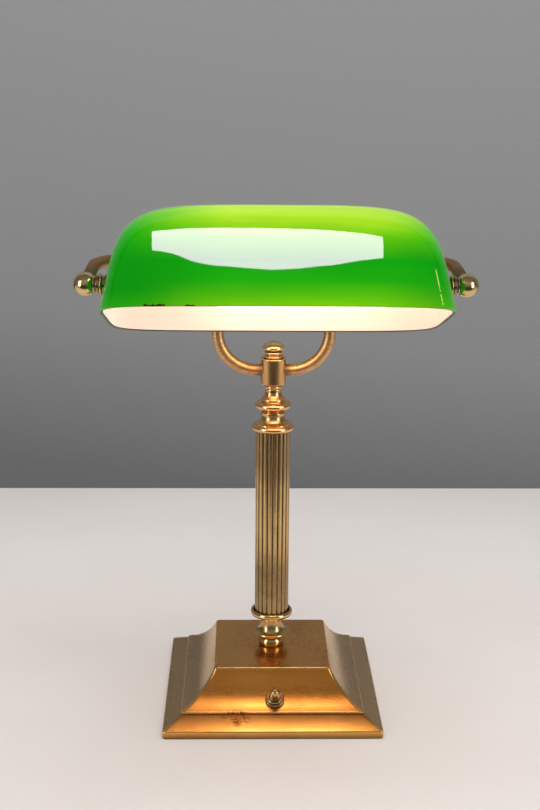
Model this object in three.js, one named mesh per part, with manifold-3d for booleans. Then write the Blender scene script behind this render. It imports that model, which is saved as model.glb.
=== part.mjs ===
// A desk lamp of the bankers kind: a stepped square brass base, a reeded column on turned
// brass fittings, a two-armed yoke, and a long cased glass shade that tilts between two balls.
// Millimetres, +Z up. The origin is under the middle of the base, on the column's axis, and
// the front of the lamp, with the switch, faces -Y.

import * as THREE from "three";
import { mergeVertices } from "three/addons/utils/BufferGeometryUtils.js";
import Module from "manifold-3d";

const wasm = await Module();
wasm.setup();

// Clearances shared by the whole lamp.
const FIT = 0.3; // between a piece and what it sits in or against
const OVERRUN = 2; // how far a cutting tool runs past what it cuts

// Counts of facets.
const BIG_SIDES = 24;
const SMALL_SIDES = 16;
const FINE_STEPS = 4;

// The base: a pressed brass shell in three storeys, square in plan.
const base = {
  half: 78.9,
  rim: 5.6, // the upright edge at the bottom
  ledgeHalf: 65.7, // where the sloping ledge meets the riser
  ledgeTop: 12.4,
  riser: 1.5, // the small upright step above the ledge
  plateHalf: 42.6,
  height: 37.9,
  sag: 3.1, // hollowness of the concave sides
  hollowSteps: 7,
  cornerRadius: 2.4,
  cornerSteps: 2,
  edge: 0.8, // softened edge round the top plate
  wall: 1.6,
  lift: 0.4, // the shell's edge clears the table by this
};
const felt = { thick: 1.2, inset: 2.6 };
const board = { thick: 1.8 };
const ballast = { half: 36, bottom: 14.5, edge: 3 };

// The threaded pipe that ties base, column and hub together, and its nut.
const pipe = { radius: 4.2, bore: 2.8, bottom: 5.5 };
const baseNut = { across: 14, thick: 4.2 };
const baseWasher = { radius: 13, thick: 1.6 };

// Turned fittings from the base plate up, each standing on the one before.
const dome = { height: 7.7, radius: 9.9, seatRadius: 8.6, neckRadius: 5.4, bellyShare: 0.36 };
const bell = {
  height: 14.6, footRadius: 5.6, lipRadius: 13.2, lipThick: 2.4, undercut: 1.2, waistRadius: 8.0,
  topRadius: 8.7, band: 1.6,
};
const seat = { height: 6.2, bottomRadius: 8.9, radius: 15.75, lip: 2.1, floor: 2.6, flare: 1.5 };
const column = { radius: 12.7, bore: 11.1, length: 147, reeds: 20, grooveDepth: 0.85, grooveShare: 0.24 };
const cap = {
  height: 13.2, radius: 15.7, thick: 4.4, recess: 2.4, shoulderRadius: 13.3, neckRadius: 8.1,
  ringRadius: 8.8, ring: 2.0, drop: 0.9,
};
const vase = {
  height: 17.4, footRadius: 7.9, radius: 13.2, under: 3.2, thick: 4.4, step: 0.9,
  beadRadius: 9.0, bead: 2.2, bodyRadius: 8.1, neckRadius: 5.75, collar: 1.4,
};
const ring = { height: 3.0, radius: 6.55 };
const hub = { height: 19.8, radius: 9.0, lipRadius: 9.5, lip: 1.2, chamfer: 0.9, armDrop: 9.3 };
const finial = {
  flangeRadius: 7.6, flange: 1.3, neckRadius: 5.3, neck: 1.7, ringRadius: 6.9, ring: 1.5,
  radius: 8.15, belly: 2.6, crown: 4.6, spigot: 3.8,
};

// The yoke: a bent tube each side, from the hub up behind the shade and forward to a ball.
const arm = {
  radius: 4.25, bore: 3.0, legX: 40.2, lowBend: 28, highBend: 24, frontBend: 20,
  rise: 5.5, // the back run lies this far above the balls
  sides: 10, boreSides: 6, steps: 32, insert: 3.6,
};
const ball = { radius: 7.95, reach: 20, forward: 67.5, z: 325.4, flat: 4.6, armInsert: 2.9 };

// Fittings on the stud between ball and glass, from the ball inwards.
const stud = { radius: 4.0, bore: 2.4, insert: 3.0, proud: 0.6, holderProud: 9 };
const collar = { radius: 5.35, thick: 1.0 };
const neckNut = { radius: 6.1, thick: 2.2, grooveRadius: 4.9, groove: 0.7, edge: 0.5 };
const washer = { radius: 7.25, thick: 1.4, edge: 0.4 };
const spacer = { radius: 5.6 };
const seal = { radius: 6.5, thick: 1.6 };
const innerWasher = { radius: 7.4, thick: 1.0 };
const innerNut = { across: 13, thick: 3.0 };

// The glass shade. Its outline is a soft rectangle whose corners loosen towards the top.
const shade = {
  halfLength: 105.4, ridgeHalf: 36, halfDepth: 61.4, height: 72.4,
  flareX: 7.8, flareY: 4.6, wall: 2.4,
  drop: 23.5, // the rim lies this far below the pivot
  hole: 4.9,
};
const SHADE_TILT_DEG = 18.6; // the front edge is raised by this at rest
const RIM_POWER = 5.9;
const RIDGE_POWER = 3.4;
const RISE_POWER = 4.0;
const DEPTH_POWER = 3.0;
const LENGTH_POWER = 3.5;
const SHADE_RINGS = 11;
const SHADE_SIDES = 44;

// The lampholder on the left stud, and its tubular bulb.
const holder = {
  collarRadius: 6.4, collar: 5.0, capRadius: 14.9, cap: 12.5, bead: 1.1, shellRadius: 14.3,
  shell: 33, wall: 0.7, linerWall: 0.5, linerProud: 1.2,
};
const core = { thick: 9, contactRadius: 4.0, contact: 2.0, waist: 2.6 };
const bulbBase = { radius: 12.4, length: 23, shoulder: 3.2, tipRadius: 5.0, threads: 4, depth: 0.9 };
const bulb = { radius: 15.0, neckRadius: 11.9, neck: 12, tipRoom: 14.9, wall: 0.9, mouth: 11.0 };

// The push switch in the front of the base, and the cord outlet at the back.
const button = {
  across: 1.6, // off the middle line
  placeShare: 0.68, // down the hollow side, from the top edge
  collarRadius: 6.9, collar: 2.0, neckRadius: 5.1, neckTop: 4.0, bore: 4.3,
  travel: 2.4, radius: 4.0, shoulder: 3.6, nose: 7.0, tail: 2.4,
  bodyRadius: 6.4, body: 10.6,
};
const outlet = {
  placeShare: 0.3, bore: 4.2, radius: 5.4, flangeRadius: 7.4, flange: 1.6, tail: 2.6, lock: 1.0,
};

// The balls stand off the widest part of the glass, so the arms and studs follow its length.
const ballX = shade.halfLength + ball.reach;

// Finishes.
function finish(color, roughness, metalness) {
  return new THREE.MeshStandardMaterial({ color, roughness, metalness });
}
const FINISHES = {
  agedBrass: () => finish(0xa8853c, 0.32, 1.0),
  warmBrass: () => finish(0xb98036, 0.28, 1.0),
  polishedBrass: () => finish(0xcdb16a, 0.18, 1.0),
  darkBrass: () => finish(0x6a5738, 0.42, 1.0),
  steel: () => finish(0x8c8f92, 0.4, 1.0),
  iron: () => finish(0x3d3a36, 0.8, 0.6),
  felt: () => finish(0x2c4a33, 0.95, 0.0),
  board: () => finish(0x7b6a52, 0.9, 0.0),
  blackPlastic: () => finish(0x161514, 0.45, 0.0),
  rubber: () => finish(0x2a2622, 0.85, 0.0),
  fibre: () => finish(0x8d7e66, 0.9, 0.0),
  greenGlass: () => finish(0x1f9a10, 0.12, 0.0),
  opalGlass: () => finish(0xfff2d6, 0.35, 0.0),
};

const lamp = new THREE.Group();
const yoke = new THREE.Group();
lamp.add(yoke);

function place(parent, name, geometry, finishName) {
  const clean = geometry.index ? geometry.toNonIndexed() : geometry;
  clean.deleteAttribute("uv");
  clean.computeVertexNormals();
  const mesh = new THREE.Mesh(clean, FINISHES[finishName]());
  mesh.name = name;
  parent.add(mesh);
  return mesh;
}

// Booleans: a closed geometry becomes a solid, and comes back as a geometry.
function toSolid(geometry) {
  let bare = geometry.clone();
  bare.deleteAttribute("normal");
  bare.deleteAttribute("uv");
  bare = mergeVertices(bare, 1e-4);
  const vertProperties = new Float32Array(bare.attributes.position.array);
  const kept = [];
  const index = bare.index.array;
  for (let i = 0; i < index.length; i += 3) {
    const [a, b, c] = [index[i], index[i + 1], index[i + 2]];
    if (a !== b && b !== c && c !== a) kept.push(a, b, c);
  }
  return new wasm.Manifold(new wasm.Mesh({ numProp: 3, vertProperties, triVerts: new Uint32Array(kept) }));
}

function toGeometry(solid) {
  const mesh = solid.getMesh();
  const geometry = new THREE.BufferGeometry();
  geometry.setAttribute("position", new THREE.BufferAttribute(new Float32Array(mesh.vertProperties), 3));
  geometry.setIndex(new THREE.BufferAttribute(new Uint32Array(mesh.triVerts), 1));
  return geometry;
}

function cut(geometry, ...tools) {
  let solid = toSolid(geometry);
  for (const tool of tools) solid = solid.subtract(toSolid(tool));
  return toGeometry(solid);
}

// Outlines of turned pieces are lists of [radius, height], up the outside and down the bore.
function revolve(outline, sides) {
  let area = 0;
  for (let i = 0; i < outline.length; i += 1) {
    const [r0, z0] = outline[i];
    const [r1, z1] = outline[(i + 1) % outline.length];
    area += r0 * z1 - r1 * z0;
  }
  const forward = area > 0 ? outline : [...outline].reverse();
  const count = forward.length;
  const first = forward.findIndex(([r], i) => r === 0 && forward[(i + count - 1) % count][0] === 0);
  const start = Math.max(first, 0);
  const ordered = [...forward.slice(start), ...forward.slice(0, start)];
  if (first < 0) ordered.push(ordered[0]);
  const points = ordered.map(([r, z]) => new THREE.Vector2(r, z));
  return new THREE.LatheGeometry(points, sides).rotateX(Math.PI / 2);
}

const TINY = 1e-9;
const rad = (degrees) => (degrees * Math.PI) / 180;

// Points on an arc of an ellipse round (r, z), from one angle to another in degrees.
function arc(r, z, radiusR, radiusZ, from, to, steps = FINE_STEPS) {
  const points = [];
  for (let i = 0; i <= steps; i += 1) {
    const angle = rad(from + ((to - from) * i) / steps);
    const radius = r + radiusR * Math.cos(angle);
    points.push([Math.abs(radius) < TINY ? 0 : radius, z + radiusZ * Math.sin(angle)]);
  }
  return points;
}

function bored(outline, bore, bottom, top) {
  return [...outline, [bore, top], [bore, bottom]];
}

function disc(radius, thick, bore, edge, sides) {
  const outline = [[radius - edge, 0], [radius, edge], [radius, thick - edge], [radius - edge, thick]];
  return revolve(bored(outline, bore, 0, thick), sides);
}

function rod(radius, bottom, top, sides = SMALL_SIDES) {
  return revolve([[0, bottom], [radius, bottom], [radius, top], [0, top]], sides);
}

function tube(radius, bore, bottom, top, sides = SMALL_SIDES) {
  return revolve([[radius, bottom], [radius, top], [bore, top], [bore, bottom]], sides);
}

function hexNut(across, thick, bore) {
  const shape = new THREE.Shape();
  const corner = across / Math.sqrt(3);
  for (let i = 0; i < 6; i += 1) {
    const angle = rad(60 * i);
    if (i === 0) shape.moveTo(corner, 0);
    else shape.lineTo(corner * Math.cos(angle), corner * Math.sin(angle));
  }
  shape.holes.push(circle(bore, SMALL_SIDES));
  return new THREE.ExtrudeGeometry(shape, { depth: thick, bevelEnabled: false });
}

function circle(radius, sides) {
  const path = new THREE.Path();
  for (let i = 0; i < sides; i += 1) {
    const angle = (2 * Math.PI * i) / sides;
    if (i === 0) path.moveTo(radius, 0);
    else path.lineTo(radius * Math.cos(angle), radius * Math.sin(angle));
  }
  path.closePath();
  return path;
}

// Square storeys: closed rings with rounded corners, joined into one solid.
function squareRing(half, corner, z, steps) {
  const points = [];
  for (let side = 0; side < 4; side += 1) {
    const sx = side === 0 || side === 3 ? 1 : -1;
    const sy = side < 2 ? 1 : -1;
    for (let i = 0; i <= steps; i += 1) {
      const angle = rad(90 * side + (90 * i) / steps);
      const x = sx * (half - corner) + corner * Math.cos(angle);
      const y = sy * (half - corner) + corner * Math.sin(angle);
      points.push([x, y, z]);
    }
  }
  return points;
}

function loft(rings) {
  const positions = [];
  const tri = (a, b, c) => positions.push(...a, ...b, ...c);
  const count = rings[0].length;
  for (let row = 0; row + 1 < rings.length; row += 1) {
    for (let i = 0; i < count; i += 1) {
      const j = (i + 1) % count;
      tri(rings[row][i], rings[row][j], rings[row + 1][j]);
      tri(rings[row][i], rings[row + 1][j], rings[row + 1][i]);
    }
  }
  const top = rings[rings.length - 1];
  for (let i = 1; i + 1 < count; i += 1) {
    tri(rings[0][0], rings[0][i + 1], rings[0][i]);
    tri(top[0], top[i], top[i + 1]);
  }
  const geometry = new THREE.BufferGeometry();
  geometry.setAttribute("position", new THREE.Float32BufferAttribute(positions, 3));
  return geometry;
}

// The hollow side is an arc from the plate's edge down to the riser.
const sideTop = new THREE.Vector2(base.plateHalf, base.height - base.edge);
const sideFoot = new THREE.Vector2(base.ledgeHalf, base.ledgeTop + base.riser);
const sideChord = sideTop.distanceTo(sideFoot);
const sideRadius = (sideChord * sideChord) / (8 * base.sag) + base.sag / 2;
const sideDown = sideFoot.clone().sub(sideTop).normalize();
const sideOut = new THREE.Vector2(-sideDown.y, sideDown.x);
const sideCentre = sideTop.clone().add(sideFoot).multiplyScalar(0.5);
sideCentre.addScaledVector(sideOut, sideRadius - base.sag);
const sideHalfAngle = Math.asin(sideChord / 2 / sideRadius);

// A point on the hollow side and its outward direction, at a share of the way down.
function onSide(share, offset = 0) {
  const angle = (2 * share - 1) * sideHalfAngle;
  const normal = sideOut.clone().multiplyScalar(Math.cos(angle)).addScaledVector(sideDown, -Math.sin(angle));
  const point = sideCentre.clone().addScaledVector(normal, offset - sideRadius);
  return { point, normal };
}

function baseOutline(offset) {
  const outline = [[base.half + offset, base.rim + offset / 2]];
  outline.push([base.ledgeHalf + offset, base.ledgeTop + offset]);
  for (let i = base.hollowSteps; i >= 0; i -= 1) {
    const { point } = onSide(i / base.hollowSteps, offset);
    outline.push([point.x, point.y]);
  }
  return outline;
}

function baseShell() {
  const steps = base.cornerSteps;
  const outside = [[base.half, base.lift], ...baseOutline(0), [base.plateHalf - base.edge, base.height]];
  const outerRings = outside.map(([half, z]) => squareRing(half, base.cornerRadius, z, steps));
  const inside = [[base.half - base.wall, base.lift - OVERRUN], ...baseOutline(-base.wall)];
  const ceiling = base.height - base.wall;
  inside.push([inside[inside.length - 1][0], ceiling]);
  const innerCorner = base.cornerRadius - base.wall / 2;
  const innerRings = inside.map(([half, z]) => squareRing(half, innerCorner, z, steps));
  const pipeHole = rod(pipe.radius + FIT, ceiling - OVERRUN, base.height + OVERRUN);
  const switchHole = onFront(rod(button.neckRadius + FIT, -base.wall - OVERRUN, OVERRUN));
  const outletHole = onBack(rod(outlet.radius + FIT, -base.wall - OVERRUN, OVERRUN));
  return cut(loft(outerRings), loft(innerRings), pipeHole, switchHole, outletHole);
}

// Frames standing on the front and back sides, with local +Z pointing out of the brass.
function sideFrame(share, facing, across) {
  const { point, normal } = onSide(share);
  const out = new THREE.Vector3(0, facing * normal.x, normal.y);
  const turn = new THREE.Quaternion().setFromUnitVectors(new THREE.Vector3(0, 0, 1), out);
  const origin = new THREE.Vector3(across, facing * point.x, point.y);
  return new THREE.Matrix4().compose(origin, turn, new THREE.Vector3(1, 1, 1));
}

const frontFrame = sideFrame(button.placeShare, -1, button.across);
const backFrame = sideFrame(outlet.placeShare, 1, 0);
function onFront(geometry) {
  return geometry.applyMatrix4(frontFrame);
}
function onBack(geometry) {
  return geometry.applyMatrix4(backFrame);
}

place(lamp, "base_shell", baseShell(), "agedBrass");

const feltHalf = base.half - felt.inset;
const feltRings = [0, felt.thick].map((z) => squareRing(feltHalf, base.cornerRadius, z, base.cornerSteps));
place(lamp, "base_felt", loft(feltRings), "felt");

const boardBottom = felt.thick;
const boardTop = boardBottom + board.thick;
const boardHalf = base.half - base.wall - FIT;
const boardRing = (z) => squareRing(boardHalf, base.cornerRadius, z, base.cornerSteps);
const boardRings = [boardBottom, boardTop].map(boardRing);
place(lamp, "base_board", loft(boardRings), "board");

// The ballast hangs under the plate on the pipe, with a washer and a nut below it.
const ballastTop = base.height - base.wall;
const ballastRings = [
  [ballast.half - ballast.edge, ballast.bottom], [ballast.half, ballast.bottom + ballast.edge],
  [ballast.half, ballastTop],
].map(([half, z]) => squareRing(half, ballast.edge, z, base.cornerSteps));
const ballastHole = rod(pipe.radius + FIT, ballast.bottom - OVERRUN, ballastTop + OVERRUN);
place(lamp, "base_ballast", cut(loft(ballastRings), ballastHole), "iron");

const washerBottom = ballast.bottom - baseWasher.thick;
const baseWasherRing = tube(baseWasher.radius, pipe.radius + FIT, washerBottom, ballast.bottom);
place(lamp, "base_washer", baseWasherRing, "steel");
const nutBottom = washerBottom - baseNut.thick;
const baseNutShape = hexNut(baseNut.across, baseNut.thick, pipe.radius + FIT);
const baseNutMesh = place(lamp, "base_nut", baseNutShape, "steel");
baseNutMesh.position.z = nutBottom;

// Turned fittings, each in its own frame and stood on the one below.
const pipeBore = pipe.radius + FIT;
let level = base.height;
function stack(name, outline, height, finishName, bore = pipeBore) {
  const mesh = place(lamp, name, revolve(bored(outline, bore, 0, height), BIG_SIDES), finishName);
  mesh.position.z = level;
  level += height;
  return mesh;
}

const domeBelly = dome.height * dome.bellyShare;
stack("foot_dome", [
  [dome.seatRadius, 0],
  [dome.radius - (dome.radius - dome.seatRadius) / 3, domeBelly / 3],
  ...arc(dome.neckRadius, domeBelly, dome.radius - dome.neckRadius, dome.height - domeBelly, 0, 90, 6),
], dome.height, "polishedBrass");

const bellLipTop = bell.undercut + bell.lipThick;
const bellLipMiddle = bell.lipRadius - bell.lipThick / 2;
const bellWaist = bell.height - bell.band;
stack("foot_bell", [
  [bell.footRadius, 0],
  [bell.lipRadius - bell.lipThick / 2, bell.undercut],
  ...arc(bellLipMiddle, bell.undercut + bell.lipThick / 2, bell.lipThick / 2, bell.lipThick / 2, -60, 80, 3),
  ...arc(bellLipMiddle, bellWaist, bellLipMiddle - bell.waistRadius, bellWaist - bellLipTop, 270, 180, 5),
  [bell.topRadius, bellWaist],
  [bell.topRadius, bell.height],
], bell.height, "polishedBrass");

// The seat is a dish: the column stands on its floor, inside a rolled lip.
const seatLevel = level;
const seatLipMid = seat.height - seat.lip;
const seatWell = column.radius + FIT;
const lipSpan = seat.radius - seatWell;
place(lamp, "column_seat", revolve([
  [pipeBore, 0],
  [seat.bottomRadius, 0],
  [seat.bottomRadius + seat.flare, seat.flare / 2],
  [seat.radius - lipSpan, seatLipMid - seat.lip],
  ...arc(seat.radius - lipSpan / 2, seatLipMid, lipSpan / 2, seat.lip, -60, 180, 6),
  [seatWell, seat.floor],
  [pipeBore, seat.floor],
], BIG_SIDES), "polishedBrass").position.z = seatLevel;

// The column: a tube of reeds, each a flat bow between two narrow grooves.
const columnLevel = seatLevel + seat.floor;
function reededTube() {
  const shape = new THREE.Shape();
  const pitch = 360 / column.reeds;
  const halfGroove = (pitch * column.grooveShare) / 2;
  const floorRadius = column.radius - column.grooveDepth;
  const shoulderRadius = column.radius - column.grooveDepth / 3;
  const around = [
    [-pitch / 2, floorRadius], [-pitch / 2 + halfGroove, shoulderRadius], [-pitch / 6, column.radius],
    [pitch / 6, column.radius], [pitch / 2 - halfGroove, shoulderRadius],
  ];
  for (let reed = 0; reed < column.reeds; reed += 1) {
    for (const [offset, radius] of around) {
      const angle = rad(reed * pitch + offset);
      const at = [radius * Math.cos(angle), radius * Math.sin(angle)];
      if (reed === 0 && offset === around[0][0]) shape.moveTo(...at);
      else shape.lineTo(...at);
    }
  }
  shape.holes.push(circle(column.bore, SMALL_SIDES));
  return new THREE.ExtrudeGeometry(shape, { depth: column.length, bevelEnabled: false });
}
place(lamp, "column_tube", reededTube(), "agedBrass").position.z = columnLevel;

// The cap turns down over the tube's top end, which it holds in a shallow recess.
level = columnLevel + column.length - cap.recess;
const capRecess = column.radius + FIT;
const capRound = cap.thick / 2;
const capShoulder = cap.thick + cap.drop;
const capHollow = cap.shoulderRadius - cap.neckRadius;
const capRing = cap.height - cap.ring;
const capMesh = place(lamp, "column_cap", revolve([
  [capRecess, 0],
  ...arc(cap.radius - capRound, capRound, capRound, capRound, -90, 75, 5),
  [cap.shoulderRadius, cap.thick],
  ...arc(cap.shoulderRadius, capRing, capHollow, capRing - capShoulder, 270, 180, 5),
  [cap.ringRadius, capRing],
  [cap.ringRadius, cap.height],
  [pipeBore, cap.height],
  [pipeBore, cap.recess],
  [capRecess, cap.recess],
], BIG_SIDES), "warmBrass");
capMesh.position.z = level;
level += cap.height;

const vaseDisc = vase.under + vase.thick;
const vaseBeadTop = vaseDisc + vase.step + vase.bead;
const vaseBead = vaseDisc + vase.step + vase.bead / 2;
const vaseHalf = vase.thick / 2;
const vaseShoulder = vase.bodyRadius + vase.step;
const vaseNeck = vase.height - vase.collar;
stack("neck_vase", [
  [vase.footRadius, 0],
  [vase.footRadius, vase.step],
  ...arc(vase.radius - vaseHalf, vase.under + vaseHalf, vaseHalf, vaseHalf, -70, 70, 4),
  [vase.beadRadius, vaseDisc + vase.step / 2],
  ...arc(vase.bodyRadius, vaseBead, vase.beadRadius - vase.bodyRadius, vase.bead / 2, -60, 90, 2),
  ...arc(vaseShoulder, vaseNeck, vaseShoulder - vase.neckRadius, vaseNeck - vaseBeadTop, 250, 180, 4),
  [vase.neckRadius, vase.height],
], vase.height, "warmBrass");

const ringHalf = ring.height / 2;
stack("neck_ring", arc(ring.radius - ringHalf, ringHalf, ringHalf, ringHalf, -90, 90, 5),
  ring.height, "warmBrass");

// The hub stands on the neck ring and turns about the pipe, carrying both arms.
const hubLevel = level + FIT;
const armLevel = hubLevel + hub.height - hub.armDrop;
const hubBody = revolve([
  [hub.radius - hub.chamfer, 0],
  [hub.radius, hub.chamfer],
  [hub.radius, hub.height - hub.lip],
  ...arc(hub.lipRadius - hub.lip / 2, hub.height - hub.lip / 2, hub.lip / 2, hub.lip / 2, -60, 90, 3),
  [pipeBore, hub.height],
  [pipeBore, 0],
], BIG_SIDES).translate(0, 0, hubLevel);
const armHole = rod(arm.radius + FIT, -hub.radius - OVERRUN, hub.radius + OVERRUN).rotateY(Math.PI / 2);
place(yoke, "yoke_hub", cut(hubBody, armHole.translate(0, 0, armLevel)), "warmBrass");

const finialSpigot = pipe.radius;
const finialTop = finial.flange + finial.neck + finial.ring;
const finialLip = finial.flange / 2;
const finialBead = finial.ring / 2;
place(yoke, "hub_finial", revolve([
  [0, -finial.spigot],
  [finialSpigot, -finial.spigot],
  [finialSpigot, FIT],
  [finial.flangeRadius - finial.flange / 2, FIT],
  ...arc(finial.flangeRadius - finialLip, finialLip + FIT, finialLip, finialLip, -60, 60, 2),
  [finial.neckRadius, finial.flange + FIT],
  [finial.neckRadius, finial.flange + finial.neck],
  ...arc(finial.ringRadius - finialBead, finialTop - finialBead, finialBead, finialBead, -70, 60, 3),
  ...arc(0, finialTop + finial.belly, finial.radius, finial.belly, -60, 0, 3),
  ...arc(0, finialTop + finial.belly, finial.radius, finial.crown, 15, 90, 5),
], SMALL_SIDES), "warmBrass").position.z = hubLevel + hub.height;

const pipeTop = armLevel - arm.radius - FIT;
place(lamp, "central_pipe", tube(pipe.radius, pipe.bore, pipe.bottom, pipeTop), "steel");

// A quarter bend in three dimensions, entered along one direction and left along another.
class Bend extends THREE.Curve {
  constructor(corner, entering, leaving, radius) {
    super();
    this.entering = entering;
    this.leaving = leaving;
    this.radius = radius;
    this.start = corner.clone().addScaledVector(entering, -radius);
    this.end = corner.clone().addScaledVector(leaving, radius);
    this.centre = this.start.clone().addScaledVector(leaving, radius);
  }

  getPoint(t, target = new THREE.Vector3()) {
    const angle = (t * Math.PI) / 2;
    return target.copy(this.centre)
      .addScaledVector(this.leaving, -this.radius * Math.cos(angle))
      .addScaledVector(this.entering, this.radius * Math.sin(angle));
  }
}

// The way from the ball's middle back along the arm: level with the run behind, or nearly so.
const armSlope = Math.atan2(arm.rise, ball.forward);
const armForward = new THREE.Vector3(0, -Math.cos(armSlope), -Math.sin(armSlope));

function armTube(side) {
  const out = new THREE.Vector3(side, 0, 0);
  const up = new THREE.Vector3(0, 0, 1);
  const runLevel = ball.z + arm.rise;
  const low = new Bend(new THREE.Vector3(side * arm.legX, 0, armLevel), out, up, arm.lowBend);
  const high = new Bend(new THREE.Vector3(side * arm.legX, 0, runLevel), up, out, arm.highBend);
  const front = new Bend(new THREE.Vector3(side * ballX, 0, runLevel), out, armForward, arm.frontBend);
  const start = new THREE.Vector3(side * (hub.radius - arm.insert), 0, armLevel);
  const ballCentre = new THREE.Vector3(side * ballX, -ball.forward, ball.z);
  const end = ballCentre.addScaledVector(armForward, ball.armInsert - ball.radius);
  const path = new THREE.CurvePath();
  path.add(new THREE.LineCurve3(start, low.start));
  path.add(low);
  path.add(new THREE.LineCurve3(low.end, high.start));
  path.add(high);
  path.add(new THREE.LineCurve3(high.end, front.start));
  path.add(front);
  path.add(new THREE.LineCurve3(front.end, end));
  const section = new THREE.Shape(circle(arm.radius, arm.sides).getPoints());
  section.holes.push(circle(arm.bore, arm.boreSides));
  return new THREE.ExtrudeGeometry(section, { steps: arm.steps, bevelEnabled: false, extrudePath: path });
}

// Everything on a stud is laid out from the ball's middle inwards along local +Z.
function studFrame(side) {
  const frame = new THREE.Group();
  frame.position.set(side * ballX, -ball.forward, ball.z);
  frame.rotation.y = (-side * Math.PI) / 2;
  yoke.add(frame);
  return frame;
}

function armBall(side) {
  const rear = rod(arm.radius + FIT, 0, ball.radius + OVERRUN);
  const back = armForward.clone().negate();
  const local = new THREE.Vector3(-side * back.z, back.y, side * back.x);
  local.set(back.z * side, back.y, 0);
  const turn = new THREE.Quaternion().setFromUnitVectors(new THREE.Vector3(0, 0, 1), local.normalize());
  rear.applyQuaternion(turn);
  const bore = rod(stud.radius + FIT, 0, ball.flat + OVERRUN);
  const flatAngle = 90 - (Math.acos(ball.flat / ball.radius) * 180) / Math.PI;
  const profile = arc(0, 0, ball.radius, ball.radius, -90, flatAngle, 9);
  const round = revolve([...profile, [0, ball.flat]], BIG_SIDES);
  return cut(round, rear, bore);
}

// Half length and half depth of the glass at a height above its rim, less a wall.
function shadeAt(height, wall) {
  const full = shade.height - wall;
  const rise = Math.min(1, Math.max(0, height / full));
  const sine = rise ** (RISE_POWER / 2);
  const cosine = Math.sqrt(Math.max(0, 1 - sine * sine));
  const flare = (1 - rise) ** 2;
  const depth = (shade.halfDepth - wall) * cosine ** (2 / DEPTH_POWER) + shade.flareY * flare;
  const ridge = shade.ridgeHalf - wall;
  const reach = (shade.halfLength - wall - ridge) * cosine ** (2 / LENGTH_POWER);
  const length = ridge + reach + shade.flareX * flare;
  return { length, depth, sine };
}

// One skin of the glass as rings from the rim to the ridge, in the shade's own frame.
function shadeSkin(wall) {
  const rings = [];
  for (let i = 0; i <= SHADE_RINGS; i += 1) {
    const turn = (i / SHADE_RINGS) * (Math.PI / 2);
    const rise = i === SHADE_RINGS ? 1 : Math.sin(turn) ** (2 / RISE_POWER);
    const height = (shade.height - wall) * rise;
    const { length, depth, sine } = shadeAt(height, wall);
    const power = 2 / (RIM_POWER + (RIDGE_POWER - RIM_POWER) * sine);
    const points = [];
    for (let j = 0; j < SHADE_SIDES; j += 1) {
      const around = (2 * Math.PI * j) / SHADE_SIDES;
      const [c, s] = [Math.cos(around), Math.sin(around)];
      const x = length * Math.sign(c) * Math.abs(c) ** power;
      const y = i === SHADE_RINGS ? 0 : depth * Math.sign(s) * Math.abs(s) ** power;
      points.push([x, y, height - shade.drop]);
    }
    rings.push(points);
  }
  return rings;
}

function glassShade() {
  const rings = [...shadeSkin(shade.wall).reverse(), ...shadeSkin(0)];
  const positions = [];
  for (let row = 0; row + 1 < rings.length; row += 1) {
    for (let i = 0; i < SHADE_SIDES; i += 1) {
      const j = (i + 1) % SHADE_SIDES;
      const [a, b, c, d] = [rings[row][i], rings[row][j], rings[row + 1][j], rings[row + 1][i]];
      positions.push(...a, ...b, ...c, ...a, ...c, ...d);
    }
  }
  const geometry = new THREE.BufferGeometry();
  geometry.setAttribute("position", new THREE.Float32BufferAttribute(positions, 3));
  const reach = shade.halfLength + shade.flareX + OVERRUN;
  return cut(geometry, rod(shade.hole, -reach, reach).rotateY(Math.PI / 2));
}

const shadeMesh = place(lamp, "glass_shade", glassShade(), "greenGlass");
shadeMesh.position.set(0, -ball.forward, ball.z);
shadeMesh.rotation.x = -rad(SHADE_TILT_DEG);

// Where the soft washers meet the sloping glass, measured from the ball's middle.
const glassOutside = ballX - shadeAt(shade.drop - seal.radius, 0).length;
const glassInside = ballX - shadeAt(shade.drop + innerWasher.radius, shade.wall).length;

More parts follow.
